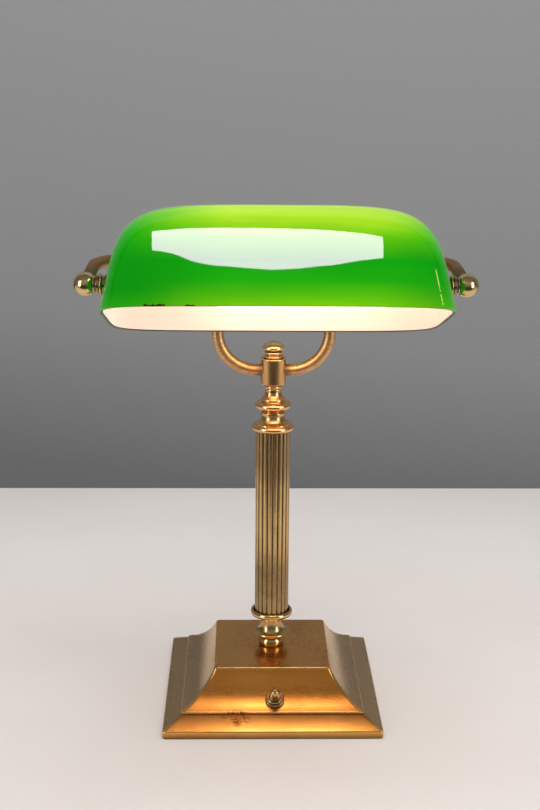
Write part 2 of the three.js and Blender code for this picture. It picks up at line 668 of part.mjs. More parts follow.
for (const [side, hand] of [[-1, "left"], [1, "right"]]) {
  place(yoke, `${hand}_arm`, armTube(side), "darkBrass");
  const frame = studFrame(side);
  place(frame, `${hand}_ball`, armBall(side), "polishedBrass");
  const bore = stud.radius + FIT;
  let reach = ball.flat + FIT;
  const next = (name, geometry, thick, finishName) => {
    place(frame, `${hand}_${name}`, geometry, finishName).position.z = reach;
    reach += thick + FIT;
  };
  next("ball_collar", tube(collar.radius, bore, 0, collar.thick), collar.thick, "polishedBrass");
  const nutThick = neckNut.groove + neckNut.thick;
  next("neck_nut", revolve([
    [neckNut.grooveRadius, 0],
    [neckNut.grooveRadius, neckNut.groove],
    [neckNut.radius - neckNut.edge, neckNut.groove],
    [neckNut.radius, neckNut.groove + neckNut.edge],
    [neckNut.radius, nutThick - neckNut.edge],
    [neckNut.radius - neckNut.edge, nutThick],
    [bore, nutThick],
    [bore, 0],
  ], SMALL_SIDES), nutThick, "darkBrass");
  const outerWasher = disc(washer.radius, washer.thick, bore, washer.edge, SMALL_SIDES);
  next("outer_washer", outerWasher, washer.thick, "polishedBrass");
  const sealStart = glassOutside - FIT - seal.thick;
  const spacerThick = sealStart - FIT - reach;
  next("spacer", tube(spacer.radius, bore, 0, spacerThick), spacerThick, "darkBrass");
  place(frame, `${hand}_outer_seal`, tube(seal.radius, bore, 0, seal.thick), "rubber").position.z = sealStart;
  reach = glassInside + FIT;
  next("inner_seal", tube(seal.radius, bore, 0, seal.thick), seal.thick, "rubber");
  const innerWasherShape = disc(innerWasher.radius, innerWasher.thick, bore, 0, SMALL_SIDES);
  next("inner_washer", innerWasherShape, innerWasher.thick, "polishedBrass");
  next("inner_nut", hexNut(innerNut.across, innerNut.thick, bore), innerNut.thick, "polishedBrass");
  const studEnd = reach - FIT + (side < 0 ? stud.holderProud : stud.proud);
  place(frame, `${hand}_stud`, tube(stud.radius, stud.bore, ball.flat - stud.insert, studEnd), "steel");
  if (side < 0) lampholder(frame, reach);
}

// The lampholder and bulb, on the left stud.
function lampholder(frame, start) {
  const bore = stud.radius + FIT;
  const capInner = holder.capRadius - holder.wall;
  const capEnd = holder.collar + holder.cap;
  const domeLength = holder.cap - 2 * holder.bead;
  const domeTop = holder.collar + domeLength;
  place(frame, "holder_cap", revolve([
    [holder.collarRadius, 0],
    [holder.collarRadius, holder.collar],
    ...arc(holder.collarRadius, domeTop, holder.shellRadius - holder.collarRadius, domeLength, -75, 0, 5),
    [holder.capRadius, capEnd - holder.bead],
    [holder.capRadius, capEnd],
    [capInner, capEnd],
    [capInner - holder.bead, holder.collar + domeLength],
    ...arc(bore, domeTop, capInner - holder.bead - bore, domeLength - holder.wall, 0, -75, 4),
    [bore, holder.collar + holder.wall],
    [bore, 0],
  ], SMALL_SIDES), "polishedBrass").position.z = start;

  const shellStart = start + capEnd + FIT;
  const shellEnd = shellStart + holder.shell;
  const shellBore = holder.shellRadius - holder.wall;
  place(frame, "holder_shell", tube(holder.shellRadius, shellBore, shellStart, shellEnd), "polishedBrass");
  const linerRadius = shellBore - FIT;
  const linerBore = linerRadius - holder.linerWall;
  const linerEnd = shellEnd + holder.linerProud;
  place(frame, "holder_liner", tube(linerRadius, linerBore, shellStart, linerEnd), "fibre");

  const coreRadius = linerBore - FIT;
  place(frame, "holder_core", revolve([
    [0, 0],
    [coreRadius, 0],
    [coreRadius, core.thick],
    [core.contactRadius, core.thick],
    [core.contactRadius, core.thick + core.contact],
    [0, core.thick + core.contact],
  ], SMALL_SIDES), "blackPlastic").position.z = shellStart;

  // The bulb's screw base stands on the core's contact.
  const baseStart = shellStart + core.thick + core.contact + FIT;
  const screw = [[0, 0], [bulbBase.tipRadius, 0], [bulbBase.radius - bulbBase.depth, bulbBase.shoulder]];
  const threadPitch = (bulbBase.length - 2 * bulbBase.shoulder) / bulbBase.threads;
  for (let i = 0; i < bulbBase.threads; i += 1) {
    const foot = bulbBase.shoulder + i * threadPitch;
    screw.push([bulbBase.radius, foot + threadPitch / 2]);
    screw.push([bulbBase.radius - bulbBase.depth, foot + threadPitch]);
  }
  screw.push([bulbBase.radius - bulbBase.depth, bulbBase.length], [0, bulbBase.length]);
  place(frame, "bulb_base", revolve(screw, SMALL_SIDES), "steel").position.z = baseStart;

  // A hollow tube of frosted glass, open at the mouth where the base closes it.
  const bulbStart = baseStart + bulbBase.length + FIT;
  const bulbLength = 2 * ballX - start - bulb.tipRoom - bulbStart;
  const glassEnd = bulbLength - bulb.radius;
  const inner = bulb.radius - bulb.wall;
  place(frame, "bulb_glass", revolve([
    [bulb.neckRadius, 0],
    ...arc(bulb.neckRadius, bulb.neck, bulb.radius - bulb.neckRadius, bulb.neck, -60, 0, 3),
    ...arc(0, glassEnd, bulb.radius, bulb.radius, 0, 90, 6),
    ...arc(0, glassEnd, inner, inner, 90, 0, 5),
    [inner, bulb.neck],
    [bulb.mouth, bulb.neck / 3],
    [bulb.mouth, 0],
  ], SMALL_SIDES), "opalGlass").position.z = bulbStart;
}

// The push switch. Its neck comes through the brass, and the button slides in the neck.
function onBase(name, geometry, finishName, frameMatrix) {
  const mesh = place(lamp, name, geometry, finishName);
  frameMatrix.decompose(mesh.position, mesh.quaternion, mesh.scale);
}
const switchBack = -base.wall - FIT;
const wellDepth = button.tail + button.travel + FIT;
onBase("switch_body", revolve([
  [0, switchBack - button.body],
  [button.bodyRadius, switchBack - button.body],
  [button.bodyRadius, switchBack],
  [button.bore, switchBack],
  [button.bore, switchBack - wellDepth],
  [0, switchBack - wellDepth],
], SMALL_SIDES), "blackPlastic", frontFrame);
const switchNeckShape = tube(button.neckRadius, button.bore, switchBack + FIT, button.neckTop);
onBase("switch_neck", switchNeckShape, "polishedBrass", frontFrame);
const collarFoot = FIT + button.collarRadius ** 2 / (2 * sideRadius);
const collarRound = button.collar / 2;
onBase("switch_collar", revolve([
  [button.neckRadius + FIT, collarFoot],
  ...arc(button.collarRadius - collarRound, collarFoot + collarRound, collarRound, collarRound, -75, 75, 4),
  [button.neckRadius + FIT, collarFoot + button.collar],
], SMALL_SIDES), "darkBrass", frontFrame);
const noseFoot = button.neckTop + button.shoulder;
onBase("switch_button", revolve([
  [0, switchBack - button.tail],
  [button.radius, switchBack - button.tail],
  ...arc(0, noseFoot, button.radius, button.nose, 0, 90, 6),
], SMALL_SIDES), "polishedBrass", frontFrame);

// The cord outlet: a flanged bush with its cord bore left empty.
const outletFoot = FIT + outlet.flangeRadius ** 2 / (2 * sideRadius);
const outletBack = -base.wall;
onBase("cord_outlet", revolve([
  [outlet.radius, outletBack - outlet.tail],
  [outlet.radius, outletFoot],
  [outlet.flangeRadius, outletFoot],
  [outlet.flangeRadius - outlet.flange / 3, outletFoot + outlet.flange],
  [outlet.bore, outletFoot + outlet.flange],
  [outlet.bore, outletBack - outlet.tail],
], SMALL_SIDES), "blackPlastic", backFrame);

export default lamp;
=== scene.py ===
"""Looks of a bankers lamp: a cased green glass trough on a two-armed brass yoke, a reeded
column on turned fittings, and a pressed brass base in three storeys.

Everything is in metres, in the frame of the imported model: the origin under the middle of
the base, +Z up, the front of the lamp facing -Y. Shapes are worked out in millimetres.
"""
import math

import bmesh
import bpy
import numpy as np
from mathutils import Matrix, Vector


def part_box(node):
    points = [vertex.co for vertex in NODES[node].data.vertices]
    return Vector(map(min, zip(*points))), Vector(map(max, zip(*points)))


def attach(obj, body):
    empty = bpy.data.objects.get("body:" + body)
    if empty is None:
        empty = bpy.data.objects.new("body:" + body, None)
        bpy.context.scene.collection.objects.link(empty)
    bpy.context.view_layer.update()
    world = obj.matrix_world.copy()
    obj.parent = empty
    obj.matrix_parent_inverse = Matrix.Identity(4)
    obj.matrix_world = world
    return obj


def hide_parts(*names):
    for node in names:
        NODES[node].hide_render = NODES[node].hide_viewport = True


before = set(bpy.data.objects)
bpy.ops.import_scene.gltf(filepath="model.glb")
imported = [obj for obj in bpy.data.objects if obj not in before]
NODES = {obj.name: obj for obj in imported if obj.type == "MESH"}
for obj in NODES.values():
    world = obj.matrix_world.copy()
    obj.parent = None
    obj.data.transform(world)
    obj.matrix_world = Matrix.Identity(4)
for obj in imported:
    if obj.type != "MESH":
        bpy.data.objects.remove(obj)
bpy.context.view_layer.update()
MM = 0.001

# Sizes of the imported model, in millimetres. The base:
BASE_HALF = 78.9
BASE_RIM = 5.6
LEDGE_HALF = 65.7
LEDGE_TOP = 12.4
RISER = 1.5
PLATE_HALF = 42.6
BASE_HEIGHT = 37.9
PLATE_EDGE = 0.8
EDGE_ROUND = 1.2
SIDE_SAG = 3.1
SHELL_WALL = 1.6
SHELL_LIFT = 0.4
BASE_CORNER = 2.4
# The stack on the column's axis: the bore of its fittings, and the level at which each starts.
BORE = 4.5
BELL_LEVEL = 45.6
SEAT_LEVEL = 60.2
CAP_LEVEL = 207.4
VASE_LEVEL = 220.6
RING_LEVEL = 238.0
HUB_LEVEL = 241.3
FINIAL_LEVEL = 261.1
COLUMN_RADIUS = 12.7
COLUMN_WALL = 1.9
COLUMN_FOOT = 62.8
COLUMN_TOP = 209.8
REEDS = 20
REED_DEPTH = 1.05
# The arms, and the balls that carry the glass by its two studs:
ARM_RADIUS = 4.25
ARM_LEG_X = 40.2
ARM_LOW_BEND = 28.0
ARM_HIGH_BEND = 24.0
ARM_FRONT_BEND = 20.0
ARM_RISE = 5.5
ARM_START_X = 5.4
ARM_INTO_BALL = 5.05
BALL_RADIUS = 7.95
BALL_X = 125.4
BALL_FLAT = 4.6
STUD_BORE = 4.05
PIVOT_Y = -67.5
PIVOT_Z = 325.4
ARM_Z = 251.8
# The glass: half its length and depth at the rim, half its ridge, its height, and the powers
# of its curves:
SHADE_LENGTH = 105.4
SHADE_RIDGE = 36.0
SHADE_DEPTH = 61.4
SHADE_HEIGHT = 72.4
SHADE_FLARE_X = 7.8
SHADE_FLARE_Y = 4.6
SHADE_WALL = 2.4
SHADE_DROP = 23.5
RIM_ROUND = 0.8
SHADE_TILT = math.radians(18.6)
RIM_POWER = 5.9
RIDGE_POWER = 3.4
RISE_POWER = 4.0
DEPTH_POWER = 3.0
LENGTH_POWER = 3.5
# How finely shapes are cut: sides of a turned piece, points along and round the base's square,
# steps across a reed, rings along the column, rings and sides of an arm, columns of the glass.
SIDES = 96
SQUARE_ALONG, SQUARE_ROUNDS = 22, 8
REED_STEPS, COLUMN_RINGS = 20, 34
ARM_RINGS, ARM_SIDES = 150, 48
SHADE_COLUMNS, OUTER_ROWS, INNER_ROWS = 320, 96, 72


def tone(red, green, blue):
    """A colour as it shows on a screen, 0 to 255, turned into the linear values of a shader."""
    share = np.array([red, green, blue]) / 255.0
    linear = np.where(share <= 0.04045, share / 12.92, ((share + 0.055) / 1.055) ** 2.4)
    return (*linear.tolist(), 1.0)


# Shader nodes.
class Wiring:
    """Adds shader nodes to one tree and joins their sockets."""

    def __init__(self, tree):
        self.tree = tree

    def add(self, kind, inputs=None, **settings):
        node = self.tree.nodes.new("ShaderNode" + kind)
        for key, value in settings.items():
            setattr(node, key, value)
        for key, value in (inputs or {}).items():
            if isinstance(value, bpy.types.NodeSocket):
                self.tree.links.new(value, node.inputs[key])
            else:
                node.inputs[key].default_value = value
        return node

    def noise(self, place, scale, detail=3.0, rough=0.5):
        node = self.add("TexNoise", {"Vector": place, "Scale": scale, "Detail": detail, "Roughness": rough})
        return node.outputs["Fac"]

    def span(self, value, low, high, bottom=0.0, top=1.0, smooth=False):
        node = self.add("MapRange", {0: value, 1: low, 2: high, 3: bottom, 4: top})
        if smooth:
            node.interpolation_type = "SMOOTHSTEP"
        return node.outputs[0]

    def maths(self, operation, first, second=0.0):
        return self.add("Math", {0: first, 1: second}, operation=operation).outputs[0]

    def mix(self, share, first, second, blend="MIX"):
        node = self.add("Mix", {0: share, 6: first, 7: second}, data_type="RGBA", blend_type=blend)
        return node.outputs[2]

    def stretch(self, place, scale, turn=(0, 0, 0), move=(0, 0, 0)):
        inputs = {"Vector": place, "Scale": scale, "Rotation": turn, "Location": move}
        return self.add("Mapping", inputs).outputs[0]

    def ramp(self, value, stops):
        node = self.add("ValToRGB", {0: value})
        colours = node.color_ramp.elements
        while len(colours) < len(stops):
            colours.new(0.5)
        for element, (position, colour) in zip(colours, stops):
            element.position = position
            element.color = colour
        return node.outputs[0]

    def bump(self, height, distance, strength=1.0):
        inputs = {"Height": height, "Distance": distance, "Strength": strength}
        return self.add("Bump", inputs).outputs[0]


def group(name, inputs, outputs):
    """A shader node group with named sockets; gives the group, its wiring and its two ends."""
    tree = bpy.data.node_groups.new(name, "ShaderNodeTree")
    for label, kind in inputs:
        tree.interface.new_socket(label, in_out="INPUT", socket_type="NodeSocket" + kind)
    for label, kind in outputs:
        tree.interface.new_socket(label, in_out="OUTPUT", socket_type="NodeSocket" + kind)
    start = tree.nodes.new("NodeGroupInput").outputs
    end = tree.nodes.new("NodeGroupOutput").inputs
    return tree, Wiring(tree), start, end


def patina_group():
    """Uneven toning of old brass: broad clouds, small blotches, specks, dirt and painted shade in the
    hollows, and edges rubbed bright with a painted sheen."""
    tree, wires, start, end = group(
        "patina",
        [("Place", "Vector"), ("Bright", "Color"), ("Dull", "Color"), ("Dark", "Color"), ("Grime_and_shade", "Float"),
         ("Wear_and_sheen", "Float"), ("Amount", "Float")],
        [("Color", "Color"), ("Roughness", "Float"), ("Height", "Float")],
    )
    place = start["Place"]
    cloud = wires.span(wires.noise(place, 20.0, 3.0, 0.5), 0.3, 0.7)
    blotch = wires.span(wires.noise(place, 95.0, 5.0, 0.6), 0.46, 0.72)
    blotch = wires.maths("MULTIPLY", blotch, start["Amount"])
    speck = wires.span(wires.noise(place, 640.0, 2.0), 0.66, 0.78)
    speck = wires.maths("MULTIPLY", speck, start["Amount"])
    grain = wires.noise(place, 1500.0, 2.0)
    colour = wires.mix(cloud, start["Bright"], start["Dull"])
    colour = wires.mix(wires.maths("MULTIPLY", blotch, 0.5), colour, start["Dark"])
    colour = wires.mix(wires.maths("MULTIPLY", speck, 0.6), colour, start["Dark"])
    # Wear brightens the edges: rubbed brass and a painted sheen.
    rubbed_sheen = wires.mix(1.0, start["Bright"], (1.3, 1.3, 1.3, 1.0), "MULTIPLY")
    colour = wires.mix(start["Wear_and_sheen"], colour, rubbed_sheen)
    # Grime darkens the hollows: dirt and painted shade.
    colour = wires.mix(start["Grime_and_shade"], colour, start["Dark"])
    dirt = wires.maths("SUBTRACT", wires.maths("MULTIPLY", start["Grime_and_shade"], 0.3),
                       wires.maths("MULTIPLY", start["Wear_and_sheen"], 0.04))
    rough = wires.maths("ADD", wires.maths("MULTIPLY", cloud, 0.05), wires.maths("MULTIPLY", blotch, 0.16))
    rough = wires.maths("ADD", rough, dirt)
    rough = wires.maths("ADD", rough, wires.maths("MULTIPLY", speck, 0.15))
    height = wires.maths("ADD", wires.maths("MULTIPLY", blotch, 0.3), wires.maths("MULTIPLY", grain, 0.35))
    tree.links.new(colour, end["Color"])
    tree.links.new(rough, end["Roughness"])
    tree.links.new(height, end["Height"])
    return tree


def marks_group(name, turn, scale, detail):
    """Fine parallel tool marks laid along a chart in millimetres, turned by some angle."""
    tree, wires, start, end = group(name, [("Chart", "Vector")], [("Mark", "Float")])
    chart = wires.stretch(start["Chart"], scale, turn)
    first = wires.noise(chart, 1.0, detail, 0.6)
    tree.links.new(wires.span(first, 0.3, 0.7), end["Mark"])
    return tree


PATINA = patina_group()
LATHE = marks_group("fine_lathe_lines", (0, 0, 0), (6.0, 9.0, 1.0), 3.0)
RUBBED = marks_group("rubbed_lines", (0, 0, 0), (0.045, 2.4, 1.0), 4.0)
DRAWN = marks_group("drawn_marks", (0, 0, math.radians(38)), (0.1, 0.95, 1.0), 2.0)


def surface(name):
    """An empty material; gives it with its wiring and its Principled shader."""
    material = bpy.data.materials.new(name)
    material.use_nodes = True
    wires = Wiring(material.node_tree)
    shader = material.node_tree.nodes["Principled BSDF"]
    return material, wires, shader


def join(wires, shader, **sockets):
    """Sets or links the shader's sockets; an underscore in a name stands for a space."""
    for label, value in sockets.items():
        key = label.replace("_", " ")
        if isinstance(value, bpy.types.NodeSocket):
            wires.tree.links.new(value, shader.inputs[key])
        else:
            shader.inputs[key].default_value = value


def scratch_patch(wires, place):
    """Fine curled scratches in one patch at the front of the base, left of its middle."""
    middle_x, middle_y, reach_x, reach_y = -0.0265, -0.0692, 0.0125, 0.0066
    split = wires.add("SeparateXYZ", {0: place}).outputs
    aside = wires.maths("DIVIDE", wires.maths("SUBTRACT", split["X"], middle_x), reach_x)
    fore = wires.maths("DIVIDE", wires.maths("SUBTRACT", split["Y"], middle_y), reach_y)
    apart = wires.maths("ADD", wires.maths("MULTIPLY", aside, aside), wires.maths("MULTIPLY", fore, fore))
    patch = wires.maths("MULTIPLY", wires.span(apart, 0.3, 1.0, 1.0, 0.0, smooth=True),
                        wires.span(wires.noise(place, 180.0, 2.0), 0.4, 0.56))
    curl = wires.maths("ABSOLUTE", wires.maths("SUBTRACT", wires.noise(place, 520.0, 3.0, 0.6), 0.5))
    return wires.maths("MULTIPLY", patch, wires.span(curl, 0.02, 0.1, 1.0, 0.0))


def painted_cool_sides(wires, place):
    """Painted light: the base's sides and back, which miss the lamp's warm light on the front, are
    paler up to the plate: where |x| + y is above 0."""
    split = wires.add("SeparateXYZ", {0: place}).outputs
    behind = wires.maths("ADD", wires.maths("ABSOLUTE", split["X"]), split["Y"])
    below = wires.span(split["Z"], 0.0366, 0.0374, 0.8, 0.0)
    return wires.maths("MULTIPLY", wires.span(behind, 0.0, 0.0025), below)


def painted_warm_glow(wires, place):
    """Painted warm light: the upper part of the front's hollow side, where |x| + y is below 0, is a deeper
    gold.
    """
    none, full = (0, 0, 0, 1), (1, 1, 1, 1)
    split = wires.add("SeparateXYZ", {0: place}).outputs
    ahead = wires.maths("ADD", wires.maths("ABSOLUTE", split["X"]), split["Y"])
    share = wires.ramp(wires.span(split["Z"], 0.0, 0.0370),
                       [(0.38, none), (0.66, full), (0.97, full), (1.0, none)])
    return wires.maths("MULTIPLY", wires.span(ahead, 0.0, -0.0025), share)


def brass(name, bright, dull, dark, smooth, marks=None, depth=0.00002, mark_share=0.12, amount=0.4,
          scratched=None):
    """Toned brass: smooth is its lowest roughness, marks the group of its tool marks, which darken
    it by mark_share, depth the height of its relief in metres, amount how blotched it is, and
    scratched the colour of the scratches in the patch, if it has one. A material with scratches
    also gets paler sides and a warmer front, both painted light."""
    material, wires, shader = surface(name)
    place = wires.add("TexCoord").outputs["Object"]
    patina = wires.add("Group", node_tree=PATINA)
    for label, value in (("Bright", bright), ("Dull", dull), ("Dark", dark), ("Amount", amount)):
        patina.inputs[label].default_value = value
    wires.tree.links.new(place, patina.inputs["Place"])
    for label in ("Grime_and_shade", "Wear_and_sheen"):
        layer = wires.add("Attribute", attribute_name=label.lower()).outputs["Fac"]
        wires.tree.links.new(layer, patina.inputs[label])
    colour, height = patina.outputs["Color"], patina.outputs["Height"]
    if scratched:
        # Painted light: paler sides and back, and a warmer gold on the upper front; then real scratches.
        colour = wires.mix(painted_cool_sides(wires, place), colour, tone(220, 190, 144))
        colour = wires.mix(painted_warm_glow(wires, place), colour, tone(255, 238, 205), "MULTIPLY")
        colour = wires.mix(scratch_patch(wires, place), colour, scratched)
    rough = wires.maths("ADD", patina.outputs["Roughness"], smooth)
    if marks:
        chart = wires.add("UVMap", uv_map="chart").outputs["UV"]
        tool = wires.add("Group", {"Chart": chart}, node_tree=marks).outputs["Mark"]
        height = wires.maths("ADD", height, wires.maths("MULTIPLY", tool, 0.6))
        share = wires.maths("MULTIPLY", tool, mark_share)
        colour = wires.mix(share, colour, dark)
        rough = wires.maths("ADD", rough, wires.maths("MULTIPLY", tool, 0.05))
    normal = wires.bump(height, depth)
    join(wires, shader, Base_Color=colour, Metallic=1.0, Roughness=rough, Normal=normal)
    return material


def plain(name, first, second, scale, rough, spread=0.15, depth=0.0001, metal=0.0, detail=4.0):
    """A mottled material without polish: rubber, plastic, zinc plate, casting, board or felt."""
    material, wires, shader = surface(name)
    place = wires.add("TexCoord").outputs["Object"]
    mottle = wires.noise(place, scale, detail, 0.6)
    grain = wires.noise(place, scale * 6.0, 3.0, 0.6)
    colour = wires.mix(wires.span(mottle, 0.35, 0.65), first, second)
    height = wires.maths("ADD", mottle, wires.maths("MULTIPLY", grain, 0.6))
    rough = wires.span(grain, 0.3, 0.7, rough - spread, rough + spread)
    normal = wires.bump(height, depth)
    join(wires, shader, Base_Color=colour, Metallic=metal, Roughness=rough, Normal=normal)
    return material


# Finishes: the base, the column, the fittings at its foot and beside the glass, the fittings
# under the yoke, the finial, the darkened rings, the arms, and the balls.
AGED = brass("aged_brass", tone(244, 184, 104), tone(220, 156, 82), tone(86, 50, 22), 0.21, RUBBED,
             depth=0.000012, mark_share=0.22, amount=0.12, scratched=tone(112, 50, 22))
REEDED = brass("reeded_brass", tone(226, 194, 132), tone(182, 142, 96), tone(46, 28, 22), 0.09, LATHE)
TURNED = brass("turned_brass", tone(228, 194, 132), tone(186, 146, 94), tone(62, 42, 24), 0.1, LATHE)
WARM = brass("warm_brass", tone(248, 202, 138), tone(222, 168, 106), tone(74, 42, 22), 0.13, LATHE)
SATIN = brass("satin_brass", tone(255, 216, 156), tone(242, 190, 126), tone(84, 48, 24), 0.2, LATHE)
DARK = brass("dark_brass", tone(176, 142, 104), tone(136, 106, 76), tone(52, 38, 28), 0.18, LATHE)
ARM = brass("drawn_brass", tone(255, 202, 138), tone(236, 172, 112), tone(60, 50, 40), 0.33, DRAWN,
            depth=0.0001, mark_share=0.42)
POLISHED = brass("polished_brass", tone(232, 208, 148), tone(206, 176, 114), tone(92, 72, 40), 0.06, LATHE,
                 amount=0.15)
STEEL = plain("zinc_plate", tone(150, 150, 150), tone(112, 110, 106), 220.0, 0.36, metal=1.0, depth=0.00003)
IRON = plain("rough_casting", tone(70, 67, 62), tone(48, 44, 40), 160.0, 0.75, 0.12, 0.0004, 0.6)
FELT = plain("felt", tone(52, 84, 60), tone(36, 62, 43), 420.0, 0.9, 0.06, 0.0006)
BOARD = plain("fibreboard", tone(140, 122, 96), tone(106, 90, 68), 260.0, 0.85, 0.08, 0.0002)
PLASTIC = plain("moulded_plastic", tone(34, 31, 29), tone(24, 22, 21), 300.0, 0.4, 0.12, 0.00004)
RUBBER = plain("rubber", tone(52, 47, 42), tone(38, 34, 30), 340.0, 0.75, 0.12, 0.00006)
FIBRE = plain("pressed_fibre", tone(168, 148, 116), tone(138, 118, 88), 300.0, 0.8, 0.1, 0.0001)


def shade_place(wires):
    """Where a point lies in the shade's own frame, whose origin is the pivot and which tilts with it."""
    place = wires.add("TexCoord").outputs["Object"]
    pivot = Matrix.Rotation(SHADE_TILT, 3, "X") @ Vector((0, PIVOT_Y * MM, PIVOT_Z * MM))
    return wires.stretch(place, (1, 1, 1), (SHADE_TILT, 0, 0), tuple(-pivot))


def between(wires, value, low, high, edge):
    """1 where a value lies between two limits, falling to 0 over a narrow edge."""
    rise = wires.span(value, low - edge, low + edge)
    return wires.maths("MULTIPLY", rise, wires.span(value, high - edge, high + edge, 1.0, 0.0))


def painted_glint(wires, split, place):
    """A painted highlight: a thin broken bright line down to the rim near the right end of the front,
    standing in for the reflection of a light's edge. It is the line on which x plus a share of z
    is 97.1 mm, half a millimetre wide."""
    line = wires.maths("ADD", split["X"], wires.maths("MULTIPLY", split["Z"], 0.172))
    thin = between(wires, line, 0.09685, 0.09735, 0.0001)
    whole = wires.maths("MULTIPLY", thin, between(wires, split["Z"], -0.021, 0.0012, 0.0004))
    front = wires.maths("MULTIPLY", whole, wires.maths("LESS_THAN", split["Y"], 0.0))
    return wires.maths("MULTIPLY", front, wires.span(wires.noise(place, 520.0, 1.0), 0.4, 0.5))


def rim_chips(wires, split, place):
    """Two old chips along the front rim, near its left end, with ragged upper edges."""
    ragged = wires.span(wires.noise(wires.stretch(place, (1.6, 0.4, 0.4)), 420.0, 3.0), 0.3, 0.7)
    low = wires.maths("ADD", split["Z"], SHADE_DROP * MM)

    def chip(left, right, ragged_part, least):
        edge = wires.maths("ADD", wires.maths("MULTIPLY", ragged, ragged_part), least)
        under = wires.maths("LESS_THAN", low, edge)
        return wires.maths("MULTIPLY", between(wires, split["X"], left, right, 0.0006), under)

    both = wires.maths("MAXIMUM", chip(-0.0825, -0.0695, 0.0012, 0.0006),
                       chip(-0.0575, -0.0515, 0.001, 0.0004))
    return wires.maths("MULTIPLY", both, wires.maths("LESS_THAN", split["Y"], 0.0))


def green_glass():
    """Cased glass with a painted glow of the bulb's light through it: yellow-green at the rim and
    near the ridge, deep green between them and at the ends, with a painted highlight line and the chips."""
    material, wires, shader = surface("cased_green_glass")
    place = shade_place(wires)
    split = wires.add("SeparateXYZ", {0: place}).outputs
    height = wires.span(split["Z"], -SHADE_DROP * MM, (SHADE_HEIGHT - SHADE_DROP) * MM)
    # Painted glow: these ramps, also given as emission, stand in for the bulb's light through the glass.
    middle = wires.ramp(height, [
        (0.0, tone(122, 204, 0)), (0.1, tone(84, 190, 0)), (0.22, tone(30, 176, 0)), (0.4, tone(0, 164, 0)),
        (0.6, tone(96, 196, 0)), (0.76, tone(166, 218, 30)), (1.0, tone(186, 228, 56)),
    ])
    ends = wires.ramp(height, [
        (0.0, tone(40, 166, 0)), (0.15, tone(0, 150, 0)), (0.45, tone(0, 148, 0)), (0.7, tone(24, 170, 0)),
        (1.0, tone(96, 200, 16)),
    ])
    away = wires.maths("ABSOLUTE", wires.maths("SUBTRACT", split["X"], 0.018))
    cloud = wires.noise(place, 16.0, 2.0)
    away = wires.maths("ADD", away, wires.span(cloud, 0.3, 0.7, -0.006, 0.006))
    colour = wires.mix(wires.span(away, 0.04, 0.112, smooth=True), middle, ends)
    streak = wires.noise(wires.stretch(place, (14.0, 60.0, 60.0)), 1.0, 3.0)
    colour = wires.mix(wires.span(streak, 0.35, 0.65, 0.0, 0.16), colour, tone(0, 120, 0))
    # A painted highlight line near the right end of the front.
    colour = wires.mix(painted_glint(wires, split, place), colour, tone(224, 230, 130))
    colour = wires.mix(rim_chips(wires, split, place), colour, tone(58, 22, 14))
    unlit = (0.55, 0.55, 0.55, 1.0)
    paint = wires.mix(1.0, colour, unlit, "MULTIPLY")
    ripple = wires.noise(wires.stretch(place, (9.0, 20.0, 20.0)), 1.0, 2.0)
    scuff = wires.span(wires.noise(place, 700.0, 3.0, 0.7), 0.62, 0.8)
    join(wires, shader, Base_Color=paint, Emission_Color=colour, Emission_Strength=0.5)
    join(wires, shader, Roughness=wires.maths("ADD", wires.maths("MULTIPLY", scuff, 0.1), 0.03))
    join(wires, shader, Normal=wires.bump(ripple, 0.0006), IOR=1.5, Specular_IOR_Level=0.35)
    return material


def white_glass():
    """The white casing inside the shade, a little creamy, with a painted glow of the bulb's light that is
    warmer towards its left end.
    """
    material, wires, shader = surface("white_casing")
    place = shade_place(wires)
    split = wires.add("SeparateXYZ", {0: place}).outputs
    cloud = wires.span(wires.noise(place, 30.0, 3.0), 0.3, 0.7)
    colour = wires.mix(cloud, tone(246, 234, 228), tone(240, 226, 214))
    join(wires, shader, Base_Color=colour, Roughness=wires.span(cloud, 0.0, 1.0, 0.14, 0.24))
    glow = wires.mix(wires.span(split["X"], -0.09, 0.03), tone(255, 228, 212), tone(110, 104, 104))
    join(wires, shader, Emission_Color=glow, Emission_Strength=0.3)
    speck = wires.noise(place, 260.0, 3.0)
    join(wires, shader, Normal=wires.bump(speck, 0.00005))
    return material


def ground_glass():
    """The ground edge of the glass, grey-brown with old dirt, with the chips that cut into it."""
    material, wires, shader = surface("ground_edge")
    place = shade_place(wires)
    patch = wires.span(wires.noise(place, 60.0, 4.0, 0.6), 0.35, 0.65)
    grain = wires.noise(place, 1800.0, 2.0)
    colour = wires.mix(patch, tone(74, 78, 58), tone(98, 92, 74))
    split = wires.add("SeparateXYZ", {0: place}).outputs
    colour = wires.mix(rim_chips(wires, split, place), colour, tone(58, 22, 14))
    join(wires, shader, Base_Color=colour, Roughness=wires.span(grain, 0.3, 0.7, 0.3, 0.6))
    join(wires, shader, Normal=wires.bump(grain, 0.00008))
    return material


def lit_bulb():
    """Frosted glass, lit, a little less bright towards its neck and tip."""
    material, wires, shader = surface("lit_frosted_glass")
    chart = wires.add("UVMap", uv_map="chart").outputs["UV"]
    run = wires.add("SeparateXYZ", {0: chart}).outputs["Y"]
    frost = wires.noise(wires.add("TexCoord").outputs["Object"], 900.0, 2.0)
    glow = wires.ramp(wires.span(run, 4.0, 145.0), [
        (0.0, tone(196, 150, 96)), (0.15, tone(255, 226, 192)), (0.85, tone(255, 229, 200)),
        (1.0, tone(240, 205, 150)),
    ])
    join(wires, shader, Base_Color=wires.mix(frost, tone(250, 244, 230), tone(236, 228, 210)))
    join(wires, shader, Emission_Color=glow, Emission_Strength=5.0)
    join(wires, shader, Roughness=wires.span(frost, 0.3, 0.7, 0.3, 0.5), Normal=wires.bump(frost, 0.00006))
    return material


